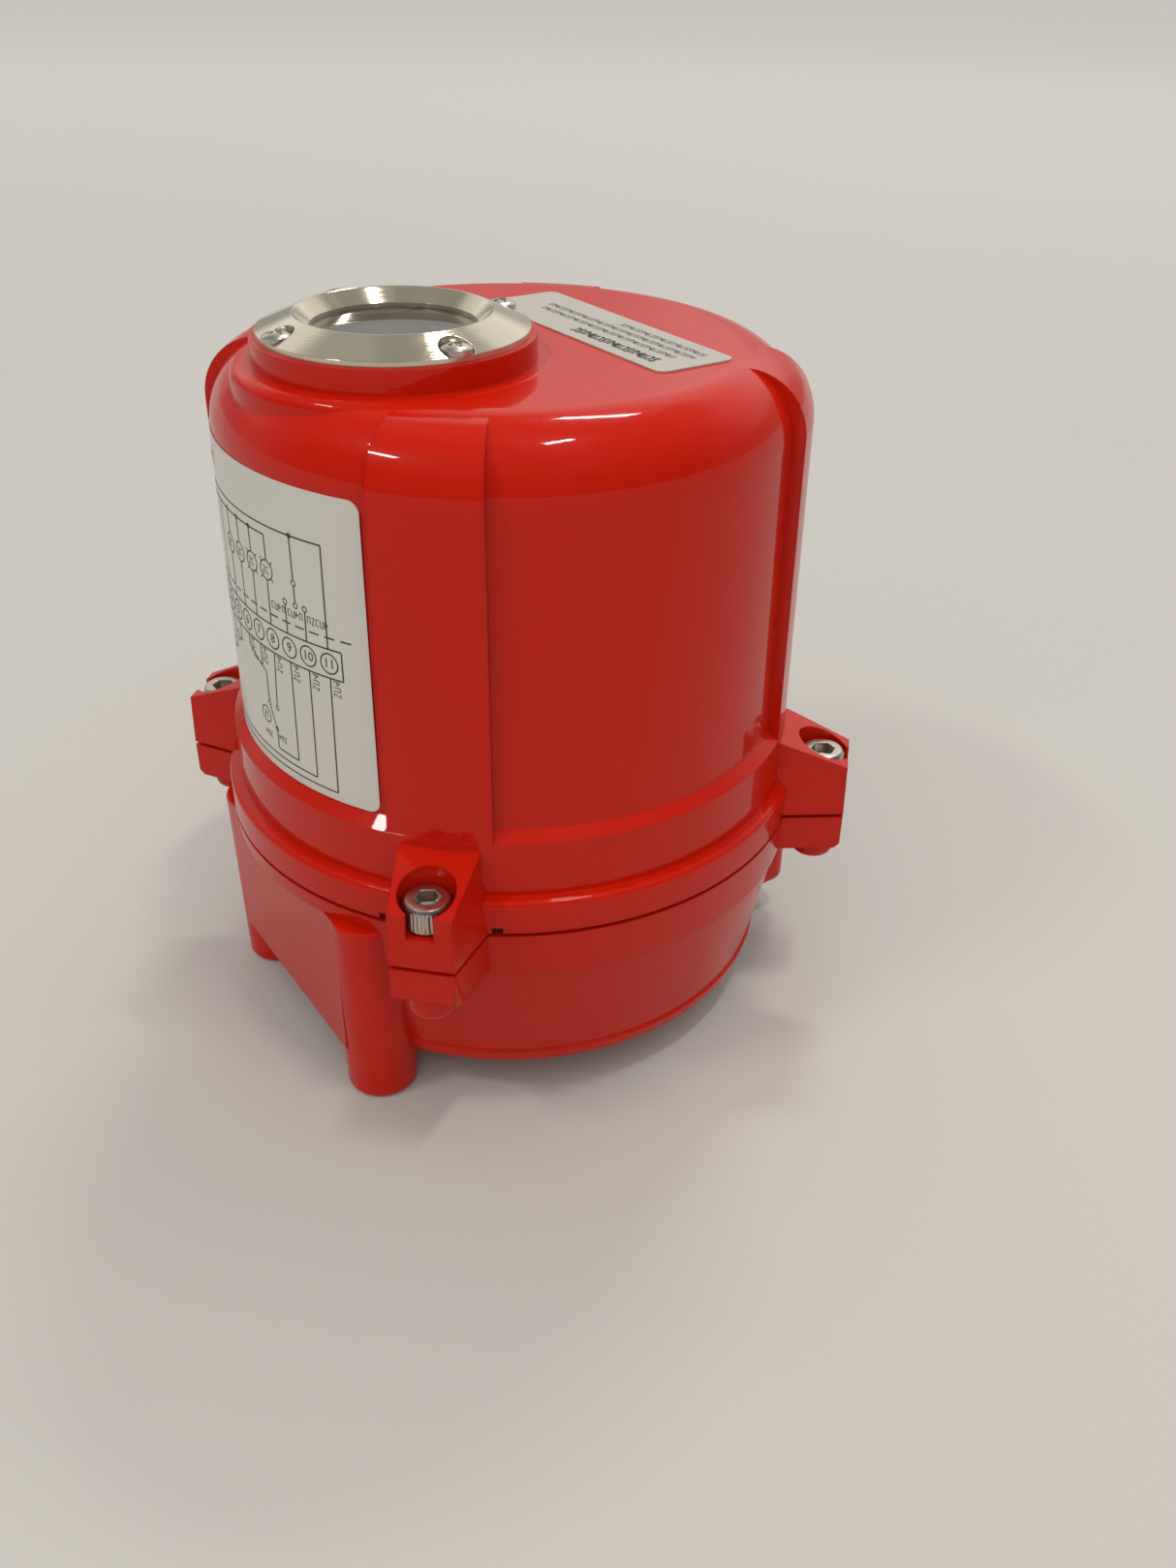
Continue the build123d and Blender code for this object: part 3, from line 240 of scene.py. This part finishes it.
def moulded_black(at):
    grain = at.noise(2200.0, 3.0, 0.6)
    return {"Base Color": grain.blend((0.014, 0.014, 0.015), (0.032, 0.032, 0.033)),
            "Roughness": 0.40 + grain * 0.18, "Normal": grain.relief(0.00002, rounded(at, 0.0003))}


def collar_grey(at):
    grain = at.noise(1600.0, 4.0, 0.6)
    return {"Base Color": grain.blend((0.10, 0.10, 0.092), (0.17, 0.168, 0.155)),
            "Roughness": 0.45 + grain * 0.2, "Normal": grain.relief(0.00003)}


def dial_enamel(at):
    fleck = at.noise(900.0, 2.0)
    return {"Base Color": fleck.blend((0.62, 0.62, 0.60), (0.70, 0.70, 0.68)),
            "Roughness": 0.42 + fleck * 0.1}


def window_glass(at):
    smear = at.noise(60.0, 3.0)
    return {"Base Color": (0.90, 0.90, 0.86, 1.0), "Roughness": 0.02 + smear ** 3.0 * 0.08,
            "Metallic": 1.0, "Clear": 0.60 - smear * 0.08}


def turned_steel(at):
    lines = at.noise(500.0, 3.0, 0.6, stretch=(0.15, 0.15, 6.0))
    stain = at.noise(90.0, 3.0)
    return {"Base Color": stain.blend((0.36, 0.355, 0.34), (0.52, 0.515, 0.50)), "Metallic": 1.0,
            "Roughness": 0.24 + lines * 0.2, "Normal": lines.relief(0.00002, rounded(at, 0.0002))}


def gear_steel(at):
    stain = at.noise(120.0, 4.0, 0.6)
    grease = at.noise(50.0, 2.0).ramp((0.45, 0.0), (0.62, 1.0))
    base = stain.blend((0.26, 0.255, 0.245), (0.42, 0.41, 0.39))
    tinted = grease.blend(base, (0.30, 0.19, 0.07))
    return {"Base Color": tinted, "Metallic": 1.0 - grease * 0.45,
            "Roughness": 0.36 - grease * 0.2 + stain * 0.1,
            "Normal": stain.relief(0.00003, rounded(at, 0.0002))}


def bronze(at):
    pores = at.noise(1800.0, 4.0, 0.6)
    return {"Base Color": pores.blend((0.36, 0.20, 0.075), (0.58, 0.36, 0.15)), "Metallic": 1.0,
            "Roughness": 0.30 + pores * 0.2, "Normal": pores.relief(0.00003)}


def cream_nylon(at):
    cloud = at.noise(200.0, 3.0)
    return {"Base Color": cloud.blend((0.55, 0.50, 0.40), (0.66, 0.61, 0.51)),
            "Roughness": 0.40 + cloud * 0.15, "Normal": cloud.relief(0.00002, rounded(at, 0.0003))}


def zinc_plate(at):
    spangle = at.cells(260.0)
    grain = at.noise(1200.0, 3.0)
    return {"Base Color": spangle.blend((0.44, 0.45, 0.46), (0.66, 0.66, 0.65)), "Metallic": 1.0,
            "Roughness": 0.26 + grain * 0.2, "Normal": grain.relief(0.00002, rounded(at, 0.0002))}


def motor_paint(at):
    cloud = at.noise(60.0, 3.0)
    peel = at.noise(700.0, 3.0)
    return {"Base Color": cloud.blend((0.035, 0.038, 0.042), (0.065, 0.068, 0.072)),
            "Roughness": 0.38 + peel * 0.15, "Normal": peel.relief(0.00006, rounded(at, 0.0004))}


def can_sleeve(at):
    cloud = at.noise(80.0, 3.0)
    return {"Base Color": cloud.blend((0.40, 0.41, 0.42), (0.52, 0.53, 0.53)), "Metallic": 0.6,
            "Roughness": 0.22 + cloud * 0.15}


def cast_alloy(at):
    sand = at.noise(900.0, 5.0, 0.65)
    return {"Base Color": sand.blend((0.34, 0.34, 0.34), (0.50, 0.50, 0.49)), "Metallic": 1.0,
            "Roughness": 0.42 + sand * 0.25, "Normal": sand.relief(0.0001)}


def table_top(at):
    cloud = at.noise(2.2, 3.0)
    fleck = at.noise(700.0, 3.0, 0.7)
    near = cloud.blend((0.490, 0.482, 0.455), (0.515, 0.507, 0.480))
    # painted light: the base colour turns paler further from the middle of the table, standing in
    # for a brighter-lit floor in the distance
    reach = at.node("VectorMath", {"operation": "LENGTH"}, {0: at}, out=1)
    painted_far_light = slope(reach, 0.35, 2.2)
    return {"Base Color": painted_far_light.blend(near, (0.700, 0.700, 0.680)),
            "Roughness": 0.62 + fleck * 0.1, "Normal": fleck.relief(0.00005)}


# ---- places taken from the frame --------------------------------------------------
def middle(node):
    low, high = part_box(node)
    return (Vector(low) + Vector(high)) / 2


WINDOW_AXIS = middle("window_bezel")
HOUSING_AXIS = middle("cover_gasket")

NODE_FINISH = {
    red_enamel: ["base", "cover"],
    polished_steel: ["window_bezel"],
    stainless: ["cover_screws", "bezel_screws"],
    label_film: ["wiring_label"],
    sticker_film: ["top_sticker"],
    black_rubber: ["cover_gasket", "window_seal", "output_seal", "hand_drive_seal",
                   "hand_drive_cap", "entry_plug_seal"],
    moulded_black: ["entry_plug", "close_switch", "open_switch", "terminal_strip"],
    collar_grey: ["dial_surround"],
    dial_enamel: ["indicator_dial"],
    window_glass: ["window_glass"],
    turned_steel: ["output_shaft", "drive_key", "gear_2_axle", "gear_1_axle", "end_stop_pins",
                   "motor_shaft", "hand_drive_shaft", "shaft_circlip", "gear_2_clip",
                   "indicator_stem", "cam_nut"],
    gear_steel: ["sector_gear", "gear_2", "gear_1", "hand_drive_gear"],
    bronze: ["output_bush", "upper_bush", "thrust_washer"],
    cream_nylon: ["close_cam", "open_cam", "cam_spacer"],
    zinc_plate: ["gear_plate", "switch_bracket", "terminal_bracket", "capacitor_clip",
                 "plate_screws", "motor_screws", "switch_screws", "bracket_screws",
                 "switch_pins", "ground_screw", "terminal_screws", "close_switch_lever",
                 "open_switch_lever"],
    motor_paint: ["motor_body", "motor_end_cap"],
    can_sleeve: ["capacitor"],
    cast_alloy: ["heater"],
}
FINISHES = {}


def finished(paint):
    """The material of one finish, made the first time it is asked for."""
    if paint not in FINISHES:
        FINISHES[paint] = finish(paint.__name__, paint)
    return FINISHES[paint]


for paint, nodes in NODE_FINISH.items():
    for node in nodes:
        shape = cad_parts[node]
        shape.data.materials.clear()
        shape.data.materials.append(finished(paint))


# ---- pieces -----------------------------------------------------------------------
def piece(name, mesh, paint, body, smooth=True):
    """Shows a bmesh or mesh as a piece that rides on a body."""
    if isinstance(mesh, bmesh.types.BMesh):
        data = bpy.data.meshes.new(name)
        mesh.to_mesh(data)
        mesh.free()
        mesh = data
    shown = bpy.data.objects.new(name, mesh)
    bpy.context.collection.objects.link(shown)
    mesh.materials.clear()
    mesh.materials.append(finished(paint))
    for face in mesh.polygons:
        face.use_smooth = smooth
    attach(shown, body)
    return shown


# ---- screws -----------------------------------------------------------------------
def lathe(mesh, profile, centre, sides, wave=0.0, waves=0, only=()):
    """Turns (radius, height) pairs about an upright axis; wave knurls the radii in only."""
    rings = []
    for k, (radius, height) in enumerate(profile):
        ring = []
        for side in range(sides):
            turn = 2 * math.pi * side / sides
            r = radius - (wave * (0.5 + 0.5 * math.cos(waves * turn)) if k in only else 0.0)
            ring.append(mesh.verts.new((centre.x + r * math.cos(turn),
                                        centre.y + r * math.sin(turn), height)))
        rings.append(ring)
    for below, above in zip(rings, rings[1:]):
        for side in range(sides):
            after = (side + 1) % sides
            mesh.faces.new((below[side], below[after], above[after], above[side]))
    return rings


def hexagon_ring(mesh, centre, across, height, sides):
    """Ring of points on a hexagon, one for each side of the ring it will be joined to."""
    ring = []
    for side in range(sides):
        turn = 2 * math.pi * side / sides
        within = (turn + math.pi / 6) % (math.pi / 3) - math.pi / 6
        r = across / 2 / math.cos(within)
        ring.append(mesh.verts.new((centre.x + r * math.cos(turn),
                                    centre.y + r * math.sin(turn), height)))
    return ring


def join(mesh, low, high):
    for side in range(len(low)):
        after = (side + 1) % len(low)
        mesh.faces.new((low[side], low[after], high[after], high[side]))


def blobs(node):
    """Boxes of the separate solids in one CAD node, as (low corner, high corner)."""
    mesh = bmesh.new()
    mesh.from_mesh(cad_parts[node].data)
    bmesh.ops.remove_doubles(mesh, verts=mesh.verts, dist=1e-7)
    found, seen = [], set()
    for start in mesh.verts:
        if start in seen:
            continue
        stack, group = [start], []
        seen.add(start)
        while stack:
            vertex = stack.pop()
            group.append(vertex.co.copy())
            for edge in vertex.link_edges:
                other = edge.other_vert(vertex)
                if other not in seen:
                    seen.add(other)
                    stack.append(other)
        found.append((Vector([min(c[k] for c in group) for k in range(3)]),
                      Vector([max(c[k] for c in group) for k in range(3)])))
    mesh.free()
    return sorted(found, key=lambda pair: (round(pair[0].x, 4), round(pair[0].y, 4)))


def knurled_cap_screws():
    """Socket cap screws: knurled heads with a chamfer and a hexagon socket."""
    mesh = bmesh.new()
    head_h, sides, teeth = 5.0 * MM, 192, 32
    for low, high in blobs("cover_screws"):
        centre, top = (low + high) / 2, high.z
        r, under = (high.x - low.x) / 2, high.z - head_h
        shank = 2.06 * MM
        rings = lathe(mesh, [
            (shank * 0.6, low.z), (shank, low.z + 0.6 * MM), (shank, under),
            (r - 0.35 * MM, under), (r, under + 0.3 * MM), (r, under + 0.45 * MM),
            (r, top - 1.0 * MM), (r, top - 0.85 * MM), (r - 0.12 * MM, top - 0.5 * MM),
            (r - 0.5 * MM, top - 0.06 * MM), (r - 0.7 * MM, top)],
            centre, sides, 0.22 * MM, teeth, (5, 6))
        mesh.faces.new(list(reversed(rings[0])))
        rim_out = rings[-1]
        mouth = hexagon_ring(mesh, centre, 4.35 * MM, top, sides)
        lip = hexagon_ring(mesh, centre, 4.0 * MM, top - 0.2 * MM, sides)
        floor = hexagon_ring(mesh, centre, 4.0 * MM, top - 2.4 * MM, sides)
        join(mesh, rim_out, mouth)
        join(mesh, mouth, lip)
        join(mesh, lip, floor)
        tip = mesh.verts.new((centre.x, centre.y, top - 3.2 * MM))
        for side in range(sides):
            mesh.faces.new((floor[side], floor[(side + 1) % sides], tip))
    return mesh


def cross_recess_screws():
    """Domed pan heads with a cross recess."""
    mesh = bmesh.new()
    head_h, steps = 1.6 * MM, 14
    for low, high in blobs("bezel_screws"):
        centre, top = (low + high) / 2, high.z
        r, under, shank = (high.x - low.x) / 2, high.z - head_h, 1.2 * MM
        dome = []
        for ring in range(steps + 1):
            out = ring / steps
            dome.append((out, top - head_h * 0.72 * (1 - math.sqrt(max(0.0, 1 - 0.86 * out ** 2)))))
        sides = 96
        previous = None
        for out, height in dome:
            ring = []
            for side in range(sides):
                turn = 2 * math.pi * side / sides
                x, y = out * r * math.cos(turn), out * r * math.sin(turn)
                ring.append(mesh.verts.new((centre.x + x, centre.y + y,
                                            height - recess(x, y, r))))
            if previous:
                join(mesh, ring, previous)
            previous = ring
        rings = lathe(mesh, [(shank * 0.6, low.z), (shank, low.z + 0.4 * MM), (shank, under),
                             (r, under), (r, dome[-1][1])], centre, sides)
        mesh.faces.new(list(reversed(rings[0])))
        bmesh.ops.remove_doubles(mesh, verts=mesh.verts, dist=2e-6)
    return mesh


def recess(x, y, r):
    """Depth of the cross at a point of the head."""
    arm, half = r * 0.58, r * 0.13
    depth = 0.0
    for along, across in ((abs(x), abs(y)), (abs(y), abs(x))):
        inside = min(1.0, max(0.0, (half - across) / (0.4 * half) + 0.5))
        reach = min(1.0, max(0.0, (arm - along) / (0.35 * arm)))
        depth = max(depth, inside * reach)
    return depth * 0.75 * MM


SHARP_TURN = math.radians(32)
for made, node, name in ((knurled_cap_screws(), "cover_screws", "knurled_cap_screws"),
                         (cross_recess_screws(), "bezel_screws", "cross_recess_screws")):
    shown = piece(name, made, stainless, "cover")
    shown.data.set_sharp_from_angle(angle=SHARP_TURN)
    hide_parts(node)


# ---- print on the labels ----------------------------------------------------------
# strokes of the stand-in letters, across and up a cell of one by one
STROKES = (((0, 0), (0, 1), (1, 1), (1, 0)), ((0, 1), (0, 0), (1, 0), (1, 1)),
           ((0, 1), (1, 1), (0.05, 0), (1, 0)), ((0, 0), (0, 1), (1, 0.5), (0, 0.45)),
           ((1, 1), (0, 0.9), (0, 0.1), (1, 0)))


class Print:
    """Flat artwork in millimetres, made of strips and letters, then laid on a surface."""

    def __init__(self):
        self.mesh = bmesh.new()

    def quad(self, corners):
        self.mesh.faces.new([self.mesh.verts.new((x, y, 0)) for x, y in corners])

    def line(self, start, end, width=0.28, step=2.0):
        """Straight stroke, cut into short lengths so that it can bend."""
        (x0, y0), (x1, y1) = start, end
        length = math.hypot(x1 - x0, y1 - y0)
        nx, ny = -(y1 - y0) / length * width / 2, (x1 - x0) / length * width / 2
        pieces = max(1, math.ceil(abs(x1 - x0) / step))
        for k in range(pieces):
            a, b = k / pieces, (k + 1) / pieces
            ax, ay = x0 + (x1 - x0) * a, y0 + (y1 - y0) * a
            bx, by = x0 + (x1 - x0) * b, y0 + (y1 - y0) * b
            self.quad([(ax + nx, ay + ny), (ax - nx, ay - ny), (bx - nx, by - ny),
                       (bx + nx, by + ny)])

    def path(self, points, width=0.28):
        for start, end in zip(points, points[1:]):
            self.line(start, end, width)

    def dashes(self, start, end, dash=2.2, gap=1.2, width=0.28):
        (x0, y0), (x1, y1) = start, end
        length = math.hypot(x1 - x0, y1 - y0)
        for k in range(int(length // (dash + gap)) + 1):
            a = k * (dash + gap) / length
            b = min(1.0, a + dash / length)
            self.line((x0 + (x1 - x0) * a, y0 + (y1 - y0) * a),
                      (x0 + (x1 - x0) * b, y0 + (y1 - y0) * b), width)

    def ring(self, x, y, radius, width=0.26, sides=28):
        for k in range(sides):
            a, b = (2 * math.pi * j / sides for j in (k, k + 1))
            inner, outer = radius - width / 2, radius + width / 2
            self.quad([(x + r * math.cos(t), y + r * math.sin(t))
                       for r, t in ((inner, a), (outer, a), (outer, b), (inner, b))])

    def dot(self, x, y, radius=0.5):
        self.ring(x, y, radius / 2, radius, 12)

    def text(self, word, x, y, height, turn=0.0):
        """Figures, centred on a point."""
        curve = bpy.data.curves.new("figures", "FONT")
        curve.body = word
        curve.size = height
        curve.align_x = "CENTER"
        curve.align_y = "CENTER"
        curve.resolution_u = 3
        shape = bpy.data.objects.new("figures", curve)
        flat = bpy.data.meshes.new_from_object(shape)
        flat.transform(Matrix.Translation((x, y, 0)) @ Matrix.Rotation(turn, 4, "Z"))
        self.mesh.from_mesh(flat)
        bpy.data.objects.remove(shape)
        bpy.data.curves.remove(curve)
        bpy.data.meshes.remove(flat)

    def words(self, x, y, letters, height=1.4, down=False, width=0.15):
        """Row of plain strokes that stands for a word; down turns it to read downwards."""
        for k in range(letters):
            strokes = []
            for u, v in STROKES[(k * 2 + letters) % len(STROKES)]:
                along, across = (k + u * 0.62) * height * 0.78, (v - 0.5) * height
                strokes.append((x + across, y - along) if down else (x + along, y + across))
            self.path(strokes, width)

    def laid(self, place):
        """Moves each point of the artwork to its place on the object."""
        for vertex in self.mesh.verts:
            vertex.co = place(vertex.co.x, vertex.co.y)
        return self.mesh


LABEL_LOW, LABEL_HIGH = (Vector(corner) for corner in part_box("wiring_label"))
LABEL_FOOT_R = HOUSING_AXIS.x - LABEL_LOW.x
INK_LIFT = 0.04 * MM
WALL_LEAN = 0.0113         # inward lean of the label face, per unit of height
FILM_T, FILM_HALF, FILM_CORNER = 0.2, 31.0, 2.2      # millimetres


def on_wall(x, y, sunk=-INK_LIFT / MM):
    """Point of the wiring label: x runs round the wall from its middle, y up from its foot."""
    z = LABEL_LOW.z + y * MM
    radius = LABEL_FOOT_R - y * MM * WALL_LEAN - sunk * MM
    turn = math.pi + x * MM / LABEL_FOOT_R
    return (HOUSING_AXIS.x + radius * math.cos(turn), radius * math.sin(turn), z)


def wiring_diagram():
    """Terminal strip with numbered circles, the control lines above it, the motor below."""
    art = Print()
    pitch, last, strip_low, strip_high, circle = 4.8, 22.7, 24.5, 29.9, 1.85
    terminals = [last - pitch * (11 - number) for number in range(1, 12)]
    centre = (strip_low + strip_high) / 2
    left, right = terminals[0] - 2.8, last + 2.8
    art.path([(right, strip_low), (right, strip_high), (left, strip_high), (left, strip_low),
              (right, strip_low)])
    for number, x in enumerate(terminals, 1):
        art.ring(x, centre, circle)
        art.text(str(number), x, centre, 2.5)
    art.dashes((right + 2.2, strip_high + 2.1), (left - 2.0, strip_high + 2.1))
    supply_rail(art, terminals, strip_high)
    signal_lamps(art, terminals, strip_high)
    # three leads that run back along the foot of the label
    for number, foot in ((10, 1.7), (9, 3.2)):
        x = terminals[number]
        art.path([(x, strip_low), (x - 0.5, foot), (terminals[0] - 2.0 + number, foot)])
    arm = terminals[7] - 1.9
    art.path([(terminals[8], strip_low), (terminals[8] - 0.5, 4.7), (arm, 4.7), (arm, 8.6)])
    change_over(art, terminals, arm, strip_low)
    for number in (10, 9, 8, 7, 6, 5):
        art.words(terminals[number] + 1.3, strip_low - 0.4, 3, down=True)
    for step, number in enumerate((4, 3, 2, 1, 0)):
        x, foot = terminals[number], 21.0 - step * 3.4
        art.path([(x, strip_low), (x, foot), (x - 1.6, foot)])
        art.ring(x - 2.6, foot, 1.0, 0.22, 18)
    art.words(terminals[0] - 6.0, 52.6, 12, 2.0, width=0.3)
    return art.laid(on_wall)


def supply_rail(art, terminals, strip_high):
    """Top line with the three-way hand switch."""
    rail, blade, contacts, eye = 48.1, 39.8, 35.8, 0.5
    open_x, pole, close_x = terminals[8] + 0.1, terminals[9] - 2.0, terminals[9] + 0.2
    art.path([(terminals[0] - 3.0, rail), (terminals[10] + 0.2, rail),
              (terminals[10], strip_high)])
    art.dot(pole, rail)
    art.line((pole, rail), (pole, blade + eye))
    art.line((pole, blade - eye), (pole, contacts + eye))
    for x, y in ((pole, blade), (open_x, contacts), (pole, contacts), (close_x, contacts)):
        art.ring(x, y, eye, 0.2, 14)
    for x, number in ((open_x, 8), (close_x, 9)):
        art.line((x, contacts - eye), (terminals[number], strip_high))
    for x, letters in ((open_x - 3.9, 4), (pole - 2.1, 4), (close_x + 0.5, 5)):
        art.words(x, contacts - 1.7, letters, 1.25)


def signal_lamps(art, terminals, strip_high):
    """Second line with two lamps, each with rays, and two relays."""
    rail, lamp_y, bulb = 46.3, 40.0, 1.75
    art.path([(terminals[0] - 1.0, rail), (terminals[7] + 0.5, rail),
              (terminals[7] + 0.5, lamp_y + bulb)])
    for number in (4, 5, 6, 7):
        x = terminals[number] + 0.3
        if number < 7:
            art.dot(x, rail)
            art.line((x, rail), (x, lamp_y + bulb))
        art.ring(x, lamp_y, bulb, 0.24)
        art.words(x - 0.95, lamp_y, 2, 1.3)
        art.line((x, lamp_y - bulb), (terminals[number], strip_high))
        for turn in (45, 135, 225, 315) if number > 5 else ():
            c, r = math.cos(math.radians(turn)), math.sin(math.radians(turn))
            art.line((x + bulb * c, lamp_y + bulb * r), (x + 2.6 * c, lamp_y + 2.6 * r), 0.2)
    for number in (0, 1, 2, 3):
        art.line((terminals[number], rail), (terminals[number], strip_high))


def change_over(art, terminals, arm, strip_low):
    """Switch blade between two contacts, and the motor beside it."""
    art.path([(arm, 8.6), (arm - 1.6, 12.6)])
    for x, y in ((arm, 8.6), (arm - 1.8, 13.2), (arm + 0.9, 13.2)):
        art.ring(x, y, 0.45, 0.18, 12)
    art.path([(arm - 1.8, 13.7), (arm - 1.8, 19.4), (terminals[5], 22.4),
              (terminals[5], strip_low)])
    art.path([(arm + 0.9, 13.7), (terminals[7], strip_low)])
    art.path([(terminals[6], strip_low), (terminals[6], 20.4), (terminals[5] + 1.2, 20.9)])
    art.ring(arm - 3.6, 10.2, 1.6, 0.22)
    art.words(arm - 4.3, 10.2, 2, 1.2)
    art.words(arm + 0.6, 7.2, 3, 1.1)
    art.words(arm - 4.4, 6.4, 3, 1.1)


STICKER_LOW, STICKER_HIGH = (Vector(corner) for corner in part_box("top_sticker"))


def on_top(x, y):
    """Point of the top sticker: x runs along its long side, y across it, from its near end."""
    return (STICKER_LOW.x + y * MM, STICKER_LOW.y + x * MM, STICKER_HIGH.z + INK_LIFT)


def sticker_print():
    art = Print()
    art.words(6.0, 3.6, 17, 1.9, width=0.5)
    for row, (start, letters) in enumerate(((6.0, 44), (4.0, 48), (4.0, 27))):
        art.words(start, 7.4 + row * 2.6, letters, 1.2)
    return art.laid(on_top)


def wiring_film():
    """Film with rounded corners that lies in the label's place on the wall."""
    half, top, corner = FILM_HALF, (LABEL_HIGH.z - LABEL_LOW.z) / MM, FILM_CORNER
    columns = [-half + corner * (1 - math.cos(math.pi * k / 16)) for k in range(9)]
    steps = 56
    columns += [-half + corner + (2 * half - 2 * corner) * k / steps for k in range(1, steps)]
    columns += [half - corner * (1 - math.cos(math.pi * k / 16)) for k in range(8, -1, -1)]
    mesh, previous = bmesh.new(), None
    for x in columns:
        inset = max(0.0, abs(x) - (half - corner))
        cut = corner - math.sqrt(max(0.0, corner ** 2 - inset ** 2))
        ring = []
        for y, sunk in ((cut, FILM_T), (cut, 0.0), (top - cut, 0.0), (top - cut, FILM_T)):
            ring.append(mesh.verts.new(on_wall(x, y, sunk)))
        if previous:
            for k in range(3):
                mesh.faces.new((previous[k], ring[k], ring[k + 1], previous[k + 1]))
        previous = ring
    bmesh.ops.recalc_face_normals(mesh, faces=mesh.faces)
    return mesh


film = piece("wiring_film", wiring_film(), label_film, "cover", smooth=False)
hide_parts("wiring_label")
piece("wiring_print", wiring_diagram(), printed_ink, "cover", smooth=False)
piece("sticker_print", sticker_print(), printed_ink, "cover", smooth=False)


# ---- position dial ------------------------------------------------------------------
POINTER_REACH, POINTER_W = 9.6, 2.1      # millimetres


def dial_marks():
    """Pointer bar on the turning dial."""
    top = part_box("indicator_dial")[1][2] + INK_LIFT
    art = Print()
    art.line((-POINTER_REACH, 0), (POINTER_REACH, 0), POINTER_W)
    return art.laid(lambda x, y: (WINDOW_AXIS.x + x * MM, WINDOW_AXIS.y + y * MM, top))


piece("dial_pointer", dial_marks(), printed_ink, "output", smooth=False)


# ---- table, camera and light --------------------------------------------------------
TABLE_HALF = 12.0


def table():
    mesh = bmesh.new()
    bmesh.ops.create_grid(mesh, x_segments=2, y_segments=2, size=TABLE_HALF)
    data = bpy.data.meshes.new("table_top")
    mesh.to_mesh(data)
    mesh.free()
    top = bpy.data.objects.new("table_top", data)
    top.location.z = CAD_BOX[0][2]
    data.materials.append(finished(table_top))
    bpy.context.collection.objects.link(top)


CAMERA_AT = (-107.05, -212.65, 197.9)    # millimetres
CAMERA_TURNS = (-34.91, 32.48, 0.99)     # degrees: azimuth, pitch and roll
CAMERA_LENS = 31.51


def camera():
    """Stands near the label side, looking down on the window."""
    azimuth, pitch, roll = (math.radians(turn) for turn in CAMERA_TURNS)
    ahead = Vector((-math.sin(azimuth) * math.cos(pitch), math.cos(azimuth) * math.cos(pitch),
                    -math.sin(pitch)))
    right = Vector((math.cos(azimuth), math.sin(azimuth), 0))
    up = right.cross(ahead)
    turned = Matrix((right, up, -ahead)).transposed() @ Matrix.Rotation(roll, 3, "Z")
    eye = bpy.data.objects.new("camera", bpy.data.cameras.new("camera"))
    eye.matrix_world = Matrix.Translation(Vector(CAMERA_AT) * MM) @ turned.to_4x4()
    eye.data.lens = CAMERA_LENS
    eye.data.sensor_width = 36.0
    eye.data.clip_start = 0.01
    eye.data.clip_end = 60.0
    bpy.context.collection.objects.link(eye)
    bpy.context.scene.camera = eye


def lamp(name, place, aim, size, power, tint=(1.0, 0.96, 0.90)):
    """Rectangular soft light; place and aim are in metres."""
    data = bpy.data.lights.new(name, "AREA")
    data.shape = "RECTANGLE"
    data.size, data.size_y = size
    data.energy = power
    data.color = tint
    shown = bpy.data.objects.new(name, data)
    shown.location = place
    shown.rotation_euler = (Vector(aim) - Vector(place)).to_track_quat("-Z", "Y").to_euler()
    bpy.context.collection.objects.link(shown)


def soft(name, turn, energy):
    """Broad light from one side of the room, which leaves no mirror image."""
    data = bpy.data.lights.new(name, "SUN")
    data.energy = energy
    data.angle = math.radians(100)
    data.color = (1.0, 0.97, 0.93)
    shown = bpy.data.objects.new(name, data)
    shown.rotation_euler = turn
    shown.visible_glossy = False
    bpy.context.collection.objects.link(shown)


def slope(value, low, high):
    """0 below low, 1 above high, with an eased rise between them."""
    inputs = {"Value": value, "From Min": low, "From Max": high}
    return value.node("MapRange", {"interpolation_type": "SMOOTHSTEP"}, inputs)


def room():
    """Pale wall beyond the object, dimmer ceiling, and a dark side behind the camera."""
    world = bpy.data.worlds.new("room")
    world.use_nodes = True
    bpy.context.scene.world = world
    tree = world.node_tree
    way = Stuff(tree, tree.nodes.new("ShaderNodeTexCoord").outputs["Generated"])
    ahead = way.part("X") * 0.572 + way.part("Y") * 0.820
    height = way.part("Z")
    wall = slope(ahead, -0.30, 0.40)
    glow = slope(ahead, 0.15, 0.55) * slope(height, 0.16, 0.36) * (1.0 - slope(height, 0.60, 0.74))
    stripes = slope((way.part("X") * 9.0 + 1.3).math("SINE"), 0.1, 0.5) * 0.45 + 0.55
    level = 0.10 + wall * (1.0 - slope(height, 0.35, 0.75)) * 0.34 * stripes + glow * 0.60
    level = level + slope(height, 0.45, 0.80) * stripes * 0.22
    tone = level.node("VectorMath", {"operation": "SCALE"}, {0: (1.0, 0.965, 0.915), 3: level})
    background = tree.nodes["Background"]
    tree.links.new(tone.socket, background.inputs[0])
    background.inputs[1].default_value = 1.0


def light():
    """Three small lamps that make the glints, and two broad lights that make none."""
    room()
    lamp("ceiling_near", (0.15, -0.35, 1.5), (0, 0, 0), (0.25, 0.068), 4.0)
    lamp("ceiling_far", (0.9, 0.7, 1.7), (0, 0, 0), (0.42, 0.14), 7.0)
    lamp("ceiling_left", (-1.1, 0.1, 1.5), (0, 0, 0), (0.36, 0.085), 5.0)
    soft("ceiling", (math.radians(18), math.radians(10), 0), 1.15)
    soft("window_side", (math.radians(72), 0, math.radians(-48)), 1.12)
    bpy.context.scene.view_settings.view_transform = "Standard"


table()
camera()
light()
